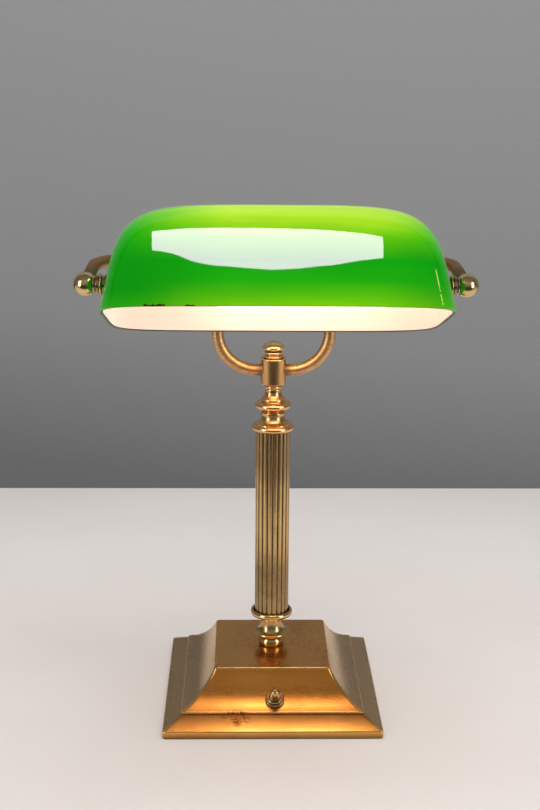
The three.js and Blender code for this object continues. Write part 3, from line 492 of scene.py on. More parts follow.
# Shapes.
def arc(r, z, radius_r, radius_z, start, stop, steps=14):
    """Points on part of an ellipse round (r, z), between two angles in degrees."""
    turn = np.radians(np.linspace(start, stop, steps + 1))
    return list(zip(r + radius_r * np.cos(turn), z + radius_z * np.sin(turn)))


def acorn(radius, foot, height, power=2.5, steps=24):
    """A full rounded top: r = radius (cos a)^(2/power), z = foot + height (sin a)^(2/power)."""
    turn = np.linspace(0, np.pi / 2, steps + 1)
    across, rise = np.abs(np.cos(turn)) ** (2 / power), np.sin(turn) ** (2 / power)
    across[-1] = 0.0
    return list(zip(radius * across, foot + height * rise))


def soften(outline, size, closed=True, steps=4):
    """Rounds each corner that turns by more than 20 degrees, with a curve that starts and ends
    a given distance from it: the curve's points are weighted by (1-t)^2, 2t(1-t) and t^2."""
    points = np.array(outline, float)
    apart = np.hypot(*(points - np.roll(points, 1, axis=0)).T) > 1e-6
    points = points[apart]
    rounded = []
    last = len(points) - 1
    for i, corner in enumerate(points):
        before, after = points[i - 1] - corner, points[(i + 1) % (last + 1)] - corner
        lengths = np.hypot(*before), np.hypot(*after)
        cosine = np.dot(before, after) / (lengths[0] * lengths[1])
        end = not closed and i in (0, last)
        if end or corner[0] < 1e-6 or cosine < -math.cos(math.radians(20)):
            rounded.append(corner)
            continue
        reach = min(size, 0.4 * min(lengths))
        first = corner + before / lengths[0] * reach
        second = corner + after / lengths[1] * reach
        for t in np.linspace(0, 1, steps + 1):
            rounded.append((1 - t) ** 2 * first + 2 * t * (1 - t) * corner + t ** 2 * second)
    return np.array(rounded)


def run_along(profile):
    """How far each point of an outline lies along it."""
    steps = np.hypot(*np.diff(profile, axis=0).T)
    return np.concatenate([[0.0], np.cumsum(steps)])


def depth_below(profile, reach):
    """How far each point of an outline lies below its neighbours: their mean radius, weighted by
    a bell curve of the distance along the outline, less its own radius."""
    run = run_along(profile)
    weight = np.exp(-((run[:, None] - run[None, :]) / reach) ** 2)
    weight *= np.gradient(run)[None, :]
    mean = (weight * profile[None, :, 0]).sum(1) / np.maximum(weight.sum(1), 1e-9)
    return mean - profile[:, 0]


def hollows(profile):
    """Dirt and painted shade: 1 where an outline lies 1.6 mm or more below its neighbours."""
    return np.clip(depth_below(profile, 2.2) / 1.6, 0, 1)


def ridges(profile):
    """Wear and a painted sheen: 1 where an outline stands 0.5 mm or more proud of its neighbours."""
    return np.clip(-depth_below(profile, 0.9) / 0.5, 0, 1)


def piece(name, grid, run, body, node, materials, grime_and_shade=0.0, wear_and_sheen=0.0, bands=None, sharp=32):
    """A surface through rows of points in millimetres, each row a closed loop, as one object that
    stands in for a node. Its chart's u is the distance round the longest row and v is run, both
    in millimetres; dirt with painted shade and wear with painted sheen are kept at its points, and
    bands gives each row its material."""
    rows, columns = grid.shape[:2]
    i, j = np.mgrid[0:rows - 1, 0:columns]
    k = (j + 1) % columns
    faces = np.stack([i * columns + j, i * columns + k, (i + 1) * columns + k, (i + 1) * columns + j], -1)
    faces = faces.reshape(-1, 4)
    widest = np.hypot(*np.diff(np.concatenate([grid, grid[:, :1]], 1), axis=1).transpose(2, 0, 1)[:2])
    around = float(widest.sum(1).max()) / columns
    across = np.stack([j, j + 1, j + 1, j], -1).reshape(-1, 4) * around
    along = np.stack([run[i], run[i], run[i + 1], run[i + 1]], -1).reshape(-1, 4)
    points = grid.reshape(-1, 3) * MM
    corners = points[faces]
    first = np.cross(corners[:, 1], corners[:, 2]) + np.cross(corners[:, 2], corners[:, 3])
    if np.einsum("ni,ni->", corners[:, 0], first) < 0:
        faces, across, along = faces[:, ::-1], across[:, ::-1], along[:, ::-1]
    mesh = bpy.data.meshes.new(name)
    mesh.from_pydata(points.tolist(), [], faces.tolist())
    chart = mesh.uv_layers.new(name="chart")
    chart.data.foreach_set("uv", np.stack([across, along], -1).astype(np.float32).ravel())
    for label, amount in (("grime_and_shade", grime_and_shade), ("wear_and_sheen", wear_and_sheen)):
        layer = mesh.attributes.new(label, "FLOAT", "POINT")
        layer.data.foreach_set("value", np.broadcast_to(amount, (rows, columns)).astype(np.float32).ravel())
    if bands is not None:
        mesh.polygons.foreach_set("material_index", np.repeat(bands, columns).astype(np.int32))
    for material in materials if isinstance(materials, list) else [materials]:
        mesh.materials.append(material)
    work = bmesh.new()
    work.from_mesh(mesh)
    bmesh.ops.remove_doubles(work, verts=work.verts, dist=2e-6)
    work.to_mesh(mesh)
    work.free()
    mesh.shade_smooth()
    mesh.set_sharp_from_angle(angle=math.radians(sharp))
    thing = bpy.data.objects.new(name, mesh)
    bpy.context.scene.collection.objects.link(thing)
    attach(thing, body)
    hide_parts(node)
    return thing


def side_frame(side):
    """The frame of the fittings beside the glass: local z runs inwards from the ball's middle."""
    axes = np.array([[0, 0, side], [0, 1, 0], [-side, 0, 0]], float)
    return axes, np.array([side * BALL_X, PIVOT_Y, PIVOT_Z])


def lifted(level):
    """The frame of a fitting that stands on the column's axis at some level."""
    return np.eye(3), np.array([0, 0, level])


def slanted(fore, up, place):
    """The frame of a fitting whose axis points out of the base's hollow side: fore and up are
    the shares of its length that it goes towards the front and upwards."""
    return np.array([[1, 0, 0], [0, up, fore], [0, -fore, up]]), np.array(place)


SWITCH = slanted(0.607416, 0.794384, [1.6, -56.4847, 19.3369])
OUTLET = slanted(-0.805954, 0.591978, [0, 47.5962, 28.3986])


def turned(node, outline, place, body, material, soft=0.25, sides=SIDES, sharp=32):
    """A lathe-turned piece: an outline of (radius, height) turned round the local z axis."""
    closed = not (outline[0][0] < 1e-6 and outline[-1][0] < 1e-6)
    profile = soften(outline, soft, closed)
    if closed:
        profile = np.vstack([profile, profile[:1]])
    turn = np.arange(sides) * 2 * np.pi / sides
    radius, height = profile[:, :1], profile[:, 1:]
    grid = np.stack([radius * np.cos(turn), radius * np.sin(turn), height + 0 * turn], -1)
    axes, origin = place
    grid = grid @ axes + origin
    # Dirt and painted shade in the hollows, wear and a painted sheen on the ridges.
    grime_and_shade, wear_and_sheen = hollows(profile)[:, None], ridges(profile)[:, None]
    return piece(node + "_turned", grid, run_along(profile), body, node, material, grime_and_shade, wear_and_sheen,
                 sharp=sharp)


def bored(outline, bottom, top, bore=BORE):
    """An outline closed by a straight bore."""
    return [*outline, (bore, top), (bore, bottom)]


# The base: square storeys with rounded corners, pressed from sheet.
def square_ring(half, corner, level):
    """Points round a square of half width half whose corners are quarter circles. Each quarter
    starts with its corner's nine points."""
    turn = np.linspace(0, np.pi / 2, SQUARE_ROUNDS + 1)
    quarter = np.arange(4)[:, None] * np.pi / 2
    signs = np.array([[1, 1], [-1, 1], [-1, -1], [1, -1]])[:, None, :] * (half - corner)
    bends = signs + corner * np.stack([np.cos(turn + quarter), np.sin(turn + quarter)], -1)
    share = np.linspace(0, 1, SQUARE_ALONG + 2)[1:-1][None, :, None]
    straights = bends[:, -1:] * (1 - share) + np.roll(bends[:, :1], -1, axis=0) * share
    ring = np.concatenate([bends, straights], 1).reshape(-1, 2)
    return np.column_stack([ring, np.full(len(ring), level)])


def base_side(offset, steps):
    """The hollow side as points of an arc from the riser up to the plate's edge, moved outwards
    by an offset. The arc's radius is chord^2 / (8 sag) + sag / 2."""
    top = np.array([PLATE_HALF, BASE_HEIGHT - PLATE_EDGE])
    foot = np.array([LEDGE_HALF, LEDGE_TOP + RISER])
    chord = np.hypot(*(foot - top))
    radius = chord ** 2 / (8 * SIDE_SAG) + SIDE_SAG / 2
    down = (foot - top) / chord
    out = np.array([-down[1], down[0]])
    centre = (top + foot) / 2 + out * (radius - SIDE_SAG)
    angle = np.linspace(1, -1, steps)[:, None] * math.asin(chord / 2 / radius)
    normal = out * np.cos(angle) - down * np.sin(angle)
    return (centre + normal * (offset - radius)).tolist()


def base_skin(offset, steps):
    """The ledge's straight slope and the hollow side above it, moved outwards by an offset."""
    ledge = [[BASE_HALF + offset, BASE_RIM + offset / 2], [LEDGE_HALF + offset, LEDGE_TOP + offset]]
    return ledge + base_side(offset, steps)


def build_base():
    """A skin from the rim up to the plate, through the pipe's hole, and back down inside: each
    point of the outline becomes a square ring. Dirt and painted shade make a bell curve round the
    groove above the ledge and darken the rim face towards the table; wear and a painted sheen lie
    round each edge and along the hips."""
    outside = [[BASE_HALF - 0.9, SHELL_LIFT], [BASE_HALF, SHELL_LIFT], *base_skin(0, 20),
               *arc(PLATE_HALF - EDGE_ROUND, BASE_HEIGHT - EDGE_ROUND, EDGE_ROUND, EDGE_ROUND, 25, 90, 6)]
    outside = soften(outside, 0.7, closed=False)
    inside = np.array([[BASE_HALF - SHELL_WALL, SHELL_LIFT], *base_skin(-SHELL_WALL, 12)])
    ceiling = BASE_HEIGHT - SHELL_WALL
    plate_halves = np.linspace(0.97, 0.25, 7) * outside[-1, 0]
    rings = [square_ring(half, BASE_CORNER, level) for half, level in outside]
    rings += [square_ring(half, min(BASE_CORNER, half / 3), BASE_HEIGHT) for half in plate_halves]
    hole = square_ring(1.0, 0.3, 0.0)[:, :2]
    hole = hole / np.hypot(*hole.T)[:, None] * (BORE + 0.1)
    rings += [np.column_stack([hole, np.full(len(hole), level)]) for level in (BASE_HEIGHT, ceiling)]
    rings += [square_ring(half, BASE_CORNER - SHELL_WALL / 2, level) for half, level in
              [[inside[-1, 0], ceiling], *inside[::-1]]]
    rings.append(rings[0])
    grid = np.stack(rings)
    quarter = grid.shape[1] // 4
    on_side = grid[:, quarter + SQUARE_ROUNDS + 1]
    profile = np.column_stack([np.abs(on_side[:, 0:2]).max(1), on_side[:, 2]])
    run = run_along(profile)
    groove = np.hypot(profile[:, 0] - LEDGE_HALF, profile[:, 1] - LEDGE_TOP)
    # Painted shade: the rim face darkens towards the table.
    under = np.clip((BASE_RIM - profile[:, 1]) / BASE_RIM, 0, 1) * 0.8
    grime_and_shade = np.maximum(np.exp(-(groove / 1.0) ** 2), under)[:, None]
    # Wear and a painted sheen round each edge and along the hips.
    wear_and_sheen = 0
    edges = ((BASE_HALF, BASE_RIM), (LEDGE_HALF, LEDGE_TOP + RISER), (PLATE_HALF, BASE_HEIGHT))
    for half, level in edges:
        near = np.hypot(profile[:, 0] - half, profile[:, 1] - level)
        wear_and_sheen = np.maximum(wear_and_sheen, np.exp(-(near / 0.7) ** 2))
    from_hip = np.abs(np.arange(grid.shape[1]) % quarter - SQUARE_ROUNDS // 2)
    hips = 0.8 * np.exp(-(from_hip / 1.6) ** 2) * (profile[:, 1:] < BASE_HEIGHT - 0.3)
    wear_and_sheen = np.maximum(wear_and_sheen[:, None], hips)
    piece("base_pressing", grid, run, "stand", "base_shell", AGED, grime_and_shade, wear_and_sheen, sharp=30)


def build_column():
    """A tube whose outside carries reeds: the radius is the groove radius plus the reed depth
    times (1 - |2p|^2.2)^0.5, where p runs from -1/2 to 1/2 across each reed. Dirt and painted shade
    lie in the grooves, wear and a painted sheen on the crests, and the tube is darker near its foot
    and, as painted shade under the glass, near its top."""
    columns = REEDS * REED_STEPS
    turn = np.arange(columns) * 2 * np.pi / columns
    across = (turn * REEDS / (2 * np.pi)) % 1.0 - 0.5
    swell = (1 - np.abs(2 * across) ** 2.2) ** 0.5
    radius = COLUMN_RADIUS - REED_DEPTH + REED_DEPTH * swell
    levels = np.linspace(COLUMN_FOOT, COLUMN_TOP, COLUMN_RINGS)
    reeds = np.stack([radius * np.cos(turn), radius * np.sin(turn)], -1)
    outer = reeds[None] + np.zeros((COLUMN_RINGS, 1, 1))
    inner = outer[:2] * ((COLUMN_RADIUS - COLUMN_WALL) / radius)[None, :, None]
    flat = np.concatenate([inner[:1], outer, inner[1:], inner[:1]])
    heights = np.concatenate([[COLUMN_FOOT], levels, [COLUMN_TOP, COLUMN_FOOT]])
    grid = np.concatenate([flat, np.broadcast_to(heights[:, None, None], (*flat.shape[:2], 1))], -1)
    # Darker near the foot; near the top a painted shade under the glass.
    dull = 0.42 * np.clip((118 - heights) / 16, 0, 1) + 0.3 * np.clip((heights - 165) / 20, 0, 1)
    grime_and_shade = np.maximum(np.clip(1.8 - 2.1 * swell, 0, 1)[None], dull[:, None])
    wear_and_sheen = np.clip(5 * swell - 4.2, 0, 1)[None] * (0.5 - dull)[:, None]
    run = run_along(np.column_stack([np.hypot(*flat[:, 0].T), heights]))
    piece("column_reeded", grid, run, "stand", "column_tube", REEDED, grime_and_shade, wear_and_sheen, sharp=50)


# The yoke's arms.
def bend(corner, entering, leaving, radius, steps=22):
    """A quarter turn: centre - leaving R cos a + entering R sin a, with a from 0 to 90 degrees."""
    centre = corner - entering * radius + leaving * radius
    turn = np.linspace(0, np.pi / 2, steps)[:, None]
    return centre - leaving * radius * np.cos(turn) + entering * radius * np.sin(turn)


def build_arm(hand, side):
    """A round tube along the arm's path: straight runs joined by quarter turns out of the hub, up,
    out and forward to the ball. Each ring's frame follows the one before it."""
    slope = math.atan2(ARM_RISE, -PIVOT_Y)
    forward = np.array([0, -math.cos(slope), -math.sin(slope)])
    out, up = np.array([side, 0.0, 0.0]), np.array([0.0, 0.0, 1.0])
    back_level = PIVOT_Z + ARM_RISE
    ball = np.array([side * BALL_X, PIVOT_Y, PIVOT_Z])
    path = np.concatenate([
        [[side * ARM_START_X, 0, ARM_Z]],
        bend(np.array([side * ARM_LEG_X, 0, ARM_Z]), out, up, ARM_LOW_BEND),
        bend(np.array([side * ARM_LEG_X, 0, back_level]), up, out, ARM_HIGH_BEND),
        bend(np.array([side * BALL_X, 0, back_level]), out, forward, ARM_FRONT_BEND),
        [ball - forward * ARM_INTO_BALL],
    ])
    run = np.concatenate([[0], np.cumsum(np.linalg.norm(np.diff(path, axis=0), axis=1))])
    even = np.linspace(0, run[-1], ARM_RINGS)
    path = np.stack([np.interp(even, run, path[:, k]) for k in range(3)], -1)
    along = np.gradient(path, axis=0)
    along /= np.linalg.norm(along, axis=1, keepdims=True)
    normals = [np.array([0.0, 1.0, 0.0])]
    for direction in along[1:]:
        carried = normals[-1] - direction * np.dot(normals[-1], direction)
        normals.append(carried / np.linalg.norm(carried))
    normals = np.array(normals)
    other = np.cross(along, normals)
    turn = np.arange(ARM_SIDES) * 2 * np.pi / ARM_SIDES
    rings = (path[:, None] + ARM_RADIUS * (normals[:, None] * np.cos(turn)[:, None]
                                           + other[:, None] * np.sin(turn)[:, None]))
    middle = np.ones((1, ARM_SIDES, 1))
    grid = np.concatenate([path[0] * middle, rings, path[-1] * middle])
    run = np.concatenate([[-ARM_RADIUS], even, [even[-1] + ARM_RADIUS]])
    # Darker where the arm enters the hub; towards the ball a painted shade, far from the bulb's light.
    near_hub = 0.6 * np.exp(-((even - 4) / 3.0) ** 2)
    near_ball = 0.65 * np.clip((even - even[-1] + 70) / 60, 0, 1)
    grime_and_shade = np.concatenate([[0], near_hub + near_ball, [0]])[:, None]
    piece(hand + "_arm_drawn", grid, run, "yoke", hand + "_arm", ARM, grime_and_shade)


def build_side(hand, side):
    """Ball, collar, nut, washers and seals on one stud, laid out inwards from the ball."""
    place = side_frame(side)
    flat = 90 - math.degrees(math.acos(BALL_FLAT / BALL_RADIUS))
    turned(hand + "_ball", [*arc(0, 0, BALL_RADIUS, BALL_RADIUS, -90, flat, 40), (0, BALL_FLAT)],
           place, "yoke", POLISHED, 0.15)

    def add(part, outline, material):
        bottom, top = outline[0][1], outline[-1][1]
        outline = bored(outline, bottom, top, STUD_BORE)
        turned(f"{hand}_{part}", outline, place, "yoke", material, 0.2)

    add("ball_collar", [(5.1, 4.9), (5.35, 5.15), (5.35, 5.65), (5.1, 5.9)], POLISHED)
    add("neck_nut", [(4.9, 6.2), (4.9, 6.9), (5.6, 6.9), (6.1, 7.4), (6.1, 8.6), (5.6, 9.1)],
        DARK)
    add("outer_washer", [(6.85, 9.4), (7.25, 9.8), (7.25, 10.4), (6.85, 10.8)], TURNED)
    add("spacer", [(5.4, 11.1), (5.6, 11.3), (5.6, 13.1), (5.4, 13.3)], DARK)
    add("outer_seal", [(6.3, 13.6), (6.5, 13.9), (6.5, 14.9), (6.3, 15.2)], RUBBER)
    add("inner_seal", [(6.3, 20.8), (6.5, 21.1), (6.5, 22.1), (6.3, 22.4)], RUBBER)
    add("inner_washer", [(7.2, 22.7), (7.4, 22.9), (7.4, 23.5), (7.2, 23.7)], TURNED)
    build_nut(hand, place)


def build_nut(hand, place):
    """A hexagon nut with turned chamfers: the radius is the lesser of the hexagon's and the cone's."""
    across, bottom, top, chamfer, columns = 13.0, 24.0, 27.0, 0.55, 144
    turn = np.arange(columns) * 2 * np.pi / columns
    flats = across / 2 / np.cos((turn + np.pi / 6) % (np.pi / 3) - np.pi / 6)
    levels = np.array([bottom, bottom, bottom + chamfer, top - chamfer, top, top, bottom])
    face = across / 2 - 0.1
    cones = np.array([STUD_BORE, face, across, across, face, STUD_BORE, STUD_BORE])
    radius = np.minimum(flats[None], cones[:, None])
    grid = np.stack([radius * np.cos(turn), radius * np.sin(turn), levels[:, None] + 0 * turn], -1)
    axes, origin = place
    run = np.arange(len(levels)) * 1.0
    piece(hand + "_inner_nut_cut", grid @ axes + origin, run, "yoke", hand + "_inner_nut",
          TURNED, sharp=18)


def build_lampholder():
    """The lampholder and its lit bulb, on the left stud, reaching across inside the glass; all
    three are outlines of (radius, distance from the left ball)."""
    place = side_frame(-1)
    foot = 27.3
    cap = [(9.0, foot), (9.0, foot + 3), *arc(9.0, foot + 15, 5.0, 12.0, -75, 0, 12), (14.8, foot + 16),
           (14.8, foot + 17.5), (13.6, foot + 17.5), (4.3, foot + 14), (4.3, foot)]
    turned("holder_cap", fitted(cap, "holder_cap"), place, "yoke", TURNED)
    shell = [(14.0, 45.1), (14.3, 45.5), (14.3, 48), (13.9, 48.6), (13.9, 56), (14.3, 56.6), (14.3, 59),
             (13.9, 59.6), (13.9, 75), (14.3, 75.6), (14.3, 77.8), (14.1, 78.1), (13.5, 78.1), (13.5, 45.1)]
    turned("holder_shell", shell, place, "yoke", TURNED, 0.2)
    bulb = [(12.2, 79.7), *arc(9.0, 91.0, 6.0, 11.3, -60, 0, 12), *arc(0, 193.6, 15, 15, 0, 90, 24)]
    turned("bulb_glass", [(0, 79.7), *bulb], place, "yoke", lit_bulb(), 0.2)


def fitted(outline, node):
    """Keeps an outline within the greatest radius of its node."""
    low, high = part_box(node)
    widest = (high.y - low.y) / 2 / MM
    return [(min(r, widest), z) for r, z in outline]


# The glass.
def shade_skin(wall, rows, columns):
    """One skin of the glass, from the rim (first row) up to the ridge (last row).

    At a share h of the height, sin f = h^(q/2) and the half depth and half length are
    D (cos f)^(2/p) and R + (L - R) (cos f)^(2/m), each with a flare times (1 - h)^2. Each row is
    the curve |x/a|^n + |y/b|^n = 1, whose power n eases from the rim's to the ridge's as sin f.
    Rows lie at even distances along the depth's own outline."""
    full, depth, ridge = SHADE_HEIGHT - wall, SHADE_DEPTH - wall, SHADE_RIDGE - wall
    length = SHADE_LENGTH - wall - ridge
    fine_steps = 6000
    phase = np.linspace(0, np.pi / 2, fine_steps + 1)
    rise = np.sin(phase) ** (2 / RISE_POWER)
    half = depth * np.abs(np.cos(phase)) ** (2 / DEPTH_POWER) + SHADE_FLARE_Y * (1 - rise) ** 2
    half[-1] = 0.0
    run = np.concatenate([[0], np.cumsum(np.hypot(np.diff(half), full * np.diff(rise)))])
    phase = np.interp(np.linspace(0, run[-1], rows), run, phase)[:, None]
    phase[-1] = np.pi / 2
    sine, cosine = np.sin(phase), np.abs(np.cos(phase))
    cosine[-1] = 0.0
    rise = sine ** (2 / RISE_POWER)
    half_depth = depth * cosine ** (2 / DEPTH_POWER) + SHADE_FLARE_Y * (1 - rise) ** 2
    half_length = ridge + length * cosine ** (2 / LENGTH_POWER) + SHADE_FLARE_X * (1 - rise) ** 2
    power = RIM_POWER + (RIDGE_POWER - RIM_POWER) * sine
    turn = (np.arange(columns)[None] + 0.5) * 2 * np.pi / columns
    across, along = np.abs(np.cos(turn)), np.abs(np.sin(turn))
    reach = (across ** power + along ** power) ** (-1 / power)
    x = half_length * reach * np.cos(turn)
    y = half_depth * reach * np.sin(turn)
    return np.stack([x, y, full * rise - SHADE_DROP + 0 * turn], -1)


def build_shade():
    """Both skins joined by a rounded rim, turned about the pivot to the angle at rest."""
    outer = shade_skin(0.0, OUTER_ROWS, SHADE_COLUMNS)
    inner = shade_skin(SHADE_WALL, INNER_ROWS, SHADE_COLUMNS)
    for skin in (outer, inner):
        share = RIM_ROUND / (skin[1, :, 2:] - skin[0, :, 2:])
        skin[0] += (skin[1] - skin[0]) * share
    turn = np.radians([30, 60, 90, 120, 150])[:, None, None]
    middle, span = (outer[0] + inner[0]) / 2, (outer[0] - inner[0]) / 2
    rim = middle + span * np.cos(turn)
    rim[..., 2] = -SHADE_DROP + RIM_ROUND * (1 - np.sin(turn[..., 0]))
    grid = np.concatenate([outer[::-1], rim, inner])
    bands = np.concatenate([np.zeros(OUTER_ROWS + 1), np.ones(len(rim) - 1), np.full(INNER_ROWS - 1, 2)])
    run = np.arange(len(grid)) * 1.0
    cosine, sine = math.cos(-SHADE_TILT), math.sin(-SHADE_TILT)
    tilt = np.array([[1, 0, 0], [0, cosine, -sine], [0, sine, cosine]])
    grid = grid @ tilt.T + np.array([0, PIVOT_Y, PIVOT_Z])
    return piece("glass_trough", grid, run, "shade", "glass_shade",
                 [green_glass(), ground_glass(), white_glass()], bands=bands, sharp=24)


# The pieces. Outlines are (radius, height above the piece's own level).
build_base()
build_column()
turned("foot_dome", bored([(8.6, 0), (9.467, 0.924), *arc(5.4, 2.772, 4.5, 4.928, 0, 90)], 0, 7.7),
       lifted(BASE_HEIGHT), "stand", TURNED)
turned("foot_bell", bored([(5.6, 0), (12, 1.2), *arc(12, 2.4, 1.2, 1.2, -60, 80),
                           *arc(12, 13, 4, 9.4, 270, 180), (8.7, 13), (8.7, 14.6)], 0, 14.6),
       lifted(BELL_LEVEL), "stand", TURNED)
turned("column_seat", [(4.5, 0), (8.9, 0), (10.4, 0.75), (13, 2), *arc(14.375, 4.1, 1.375, 2.1, -60, 180),
                       (13, 2.6), (4.5, 2.6)], lifted(SEAT_LEVEL), "stand", TURNED)
turned("column_cap", [(13, 0), *arc(13.5, 2.2, 2.2, 2.2, -90, 75), (13.3, 4.4),
                      *arc(13.3, 11.2, 5.2, 5.9, 270, 180), (8.8, 11.2), (8.8, 13.2), (4.5, 13.2),
                      (4.5, 2.4), (13, 2.4)], lifted(CAP_LEVEL), "stand", WARM)
turned("neck_vase", bored([(7.9, 0), (7.9, 0.9), *arc(11, 5.4, 2.2, 2.2, -70, 70), (9, 8.05),
                           *arc(8.1, 9.6, 0.9, 1.1, -60, 90), *arc(9, 16, 3.25, 5.3, 250, 180),
                           (5.75, 17.4)], 0, 17.4), lifted(VASE_LEVEL), "stand", WARM)
turned("neck_ring", bored(arc(5.05, 1.5, 1.5, 1.5, -90, 90), 0, 3), lifted(RING_LEVEL), "stand",
       WARM)
turned("yoke_hub", bored([(8.1, 0), (9, 0.9), (9, 18.6), *arc(8.9, 19.2, 0.6, 0.6, -60, 90)], 0, 19.8),
       lifted(HUB_LEVEL), "yoke", WARM)
turned("hub_finial", [(0, -3.8), (4.2, -3.8), (4.2, 0.3), (6.95, 0.3), *arc(6.95, 0.95, 0.65, 0.65, -60, 60),
                      (5.3, 1.6), (5.3, 3), *arc(6.15, 3.75, 0.75, 0.75, -70, 60),
                      *arc(0, 7.1, 8.15, 2.6, -60, 0), *arc(0, 7.1, 8.15, 4.6, 15, 90, 24)],
       lifted(FINIAL_LEVEL), "yoke", SATIN)
turned("switch_neck", [(5.1, -1.6), (5.1, 3.7), (4.8, 4.0), (4.3, 4.0), (4.3, -1.6)], SWITCH, "stand",
       POLISHED)
turned("switch_collar", [(5.4, 0.83), *arc(5.9, 1.83, 1.0, 1.0, -75, 75), (5.4, 2.83)], SWITCH, "stand",
       DARK, 0.1)
turned("switch_button", [(0, -4.3), (4.0, -4.3), *acorn(4.0, 7.6, 7.0)], SWITCH, "button",
       TURNED)
turned("cord_outlet", [(5.4, -4.2), (5.4, 0.91), (7.4, 0.91), (6.87, 2.51), (4.2, 2.51), (4.2, -4.2)],
       OUTLET, "stand", PLASTIC)
for hand, side in (("left", -1), ("right", 1)):
    build_arm(hand, side)
    build_side(hand, side)
build_lampholder()
trough = build_shade()

# Pieces that show little or not at all keep their solids.
HIDDEN = {
    "base_felt": FELT, "base_board": BOARD, "base_ballast": IRON, "base_washer": STEEL, "base_nut": STEEL,
    "central_pipe": STEEL, "left_stud": STEEL, "right_stud": STEEL, "bulb_base": STEEL,
    "switch_body": PLASTIC, "holder_core": PLASTIC, "holder_liner": FIBRE,
}
for node, material in HIDDEN.items():
    for place in NODES[node].material_slots:
        place.material = material


# The stage: a pale table and a grey wall, and what only reflections show.
def sheet(name, corners, material):
    """A flat sheet through its corners, which belongs to the stage."""
    mesh = bpy.data.meshes.new(name)
    mesh.from_pydata(corners, [], [tuple(range(len(corners)))])
    mesh.materials.append(material)
    thing = bpy.data.objects.new(name, mesh)
    bpy.context.scene.collection.objects.link(thing)
    return thing


def one_sided(wires, material, face):
    """Shows a sheet's face alone, so a view from behind looks through it."""
    behind = wires.add("NewGeometry").outputs["Backfacing"]
    clear = wires.add("BsdfTransparent").outputs[0]
    both = wires.add("MixShader", {0: behind, 1: face, 2: clear}).outputs[0]
    wires.tree.links.new(both, material.node_tree.nodes["Material Output"].inputs["Surface"])
    return material


def table_material():
    """A plain pale table top, faintly clouded."""
    material, wires, shader = surface("pale_table")
    place = wires.add("TexCoord").outputs["Object"]
    cloud = wires.span(wires.noise(place, 5.0, 3.0), 0.3, 0.7)
    join(wires, shader, Base_Color=wires.mix(cloud, tone(230, 224, 220), tone(224, 217, 212)))
    join(wires, shader, Roughness=wires.span(cloud, 0, 1, 0.4, 0.5), Specular_IOR_Level=0.3)
    return one_sided(wires, material, shader.outputs[0])


def wall_material():
    """A plain grey wall with painted shade, darker towards the table and a little towards the left."""
    material, wires, shader = surface("grey_wall")
    place = wires.add("TexCoord").outputs["Object"]
    split = wires.add("SeparateXYZ", {0: place}).outputs
    level = wires.maths("ADD", split["Z"], wires.maths("MULTIPLY", split["X"], 0.12))
    colour = wires.ramp(wires.span(level, 0.0, 0.5), [
        (0.0, tone(112, 112, 114)), (0.35, tone(142, 142, 143)), (1.0, tone(148, 148, 149)),
    ])
    join(wires, shader, Base_Color=colour, Roughness=0.9)
    return one_sided(wires, material, shader.outputs[0])


def panel_material(strength, colour):
    """A glow that hides nothing behind it."""
    material, wires, _ = surface("soft_panel")
    glow = wires.add("Emission", {"Color": colour, "Strength": strength}).outputs[0]
    clear = wires.add("BsdfTransparent").outputs[0]
    return one_sided(wires, material, wires.add("AddShader", {0: glow, 1: clear}).outputs[0])


CARD_EDGE, CARD_FADE = -0.34, 0.14


def card_material():
    """Dark card whose near edge fades out."""
    material, wires, shader = surface("dark_card")
    place = wires.add("TexCoord").outputs["Object"]
    near = wires.add("SeparateXYZ", {0: place}).outputs["Y"]
    nap = wires.noise(place, 60.0)
    join(wires, shader, Base_Color=wires.mix(nap, tone(62, 56, 52), tone(54, 48, 44)), Roughness=0.9)
    join(wires, shader, Alpha=wires.span(near, CARD_EDGE, CARD_EDGE - CARD_FADE))
    return material


REACH, WALL_Y, WALL_TOP = 4, 0.48, 3
table = sheet("table", [(-REACH, -REACH, 0), (REACH, -REACH, 0), (REACH, REACH, 0), (-REACH, REACH, 0)],
              table_material())
sheet("wall", [(REACH, WALL_Y, 0), (REACH, WALL_Y, WALL_TOP),
               (-REACH, WALL_Y, WALL_TOP), (-REACH, WALL_Y, 0)], wall_material())
# The panel above the lamp that the front of the glass reflects, and its outline in metres: the
# glass shows its near side as a shallow bow and its far side as a nearly straight edge.
PANEL_Z = 0.50
PANEL = [(-0.136, -0.104), (-0.143, -0.199), (-0.103, -0.232), (-0.073, -0.264), (-0.046, -0.286),
         (-0.021, -0.298), (-0.001, -0.300), (0.023, -0.297), (0.046, -0.289), (0.069, -0.274),
         (0.107, -0.250), (0.100, -0.158), (0.050, -0.146), (0.019, -0.138), (-0.025, -0.134),
         (-0.060, -0.130), (-0.099, -0.122)]
panel = sheet("soft_panel", [(x, y, PANEL_Z) for x, y in PANEL][::-1],
              panel_material(24.0, tone(255, 216, 255)))
# A dark card lies on the table in front of the lamp and shows only in what the brass reflects.
CARD_HALF, CARD_FAR, CARD_Z = 1.5, -3, 0.001
card = sheet("dark_card", [(-CARD_HALF, CARD_FAR, CARD_Z), (CARD_HALF, CARD_FAR, CARD_Z),
                           (CARD_HALF, CARD_EDGE, CARD_Z), (-CARD_HALF, CARD_EDGE, CARD_Z)],
             card_material())
for thing in (panel, card):
    thing.visible_camera = False
    thing.visible_diffuse = False
    thing.visible_shadow = False
# The panel lights the glass alone; the lights for the brass leave out the glass and the table.
on_glass = bpy.data.collections.new("lit_by_panel")
on_glass.objects.link(trough)
panel.light_linking.receiver_collection = on_glass
on_brass = bpy.data.collections.new("all_but_glass_and_table")
for thing in (trough, table):
    on_brass.objects.link(thing)
for row in on_brass.collection_objects:
    row.light_linking.link_state = "EXCLUDE"


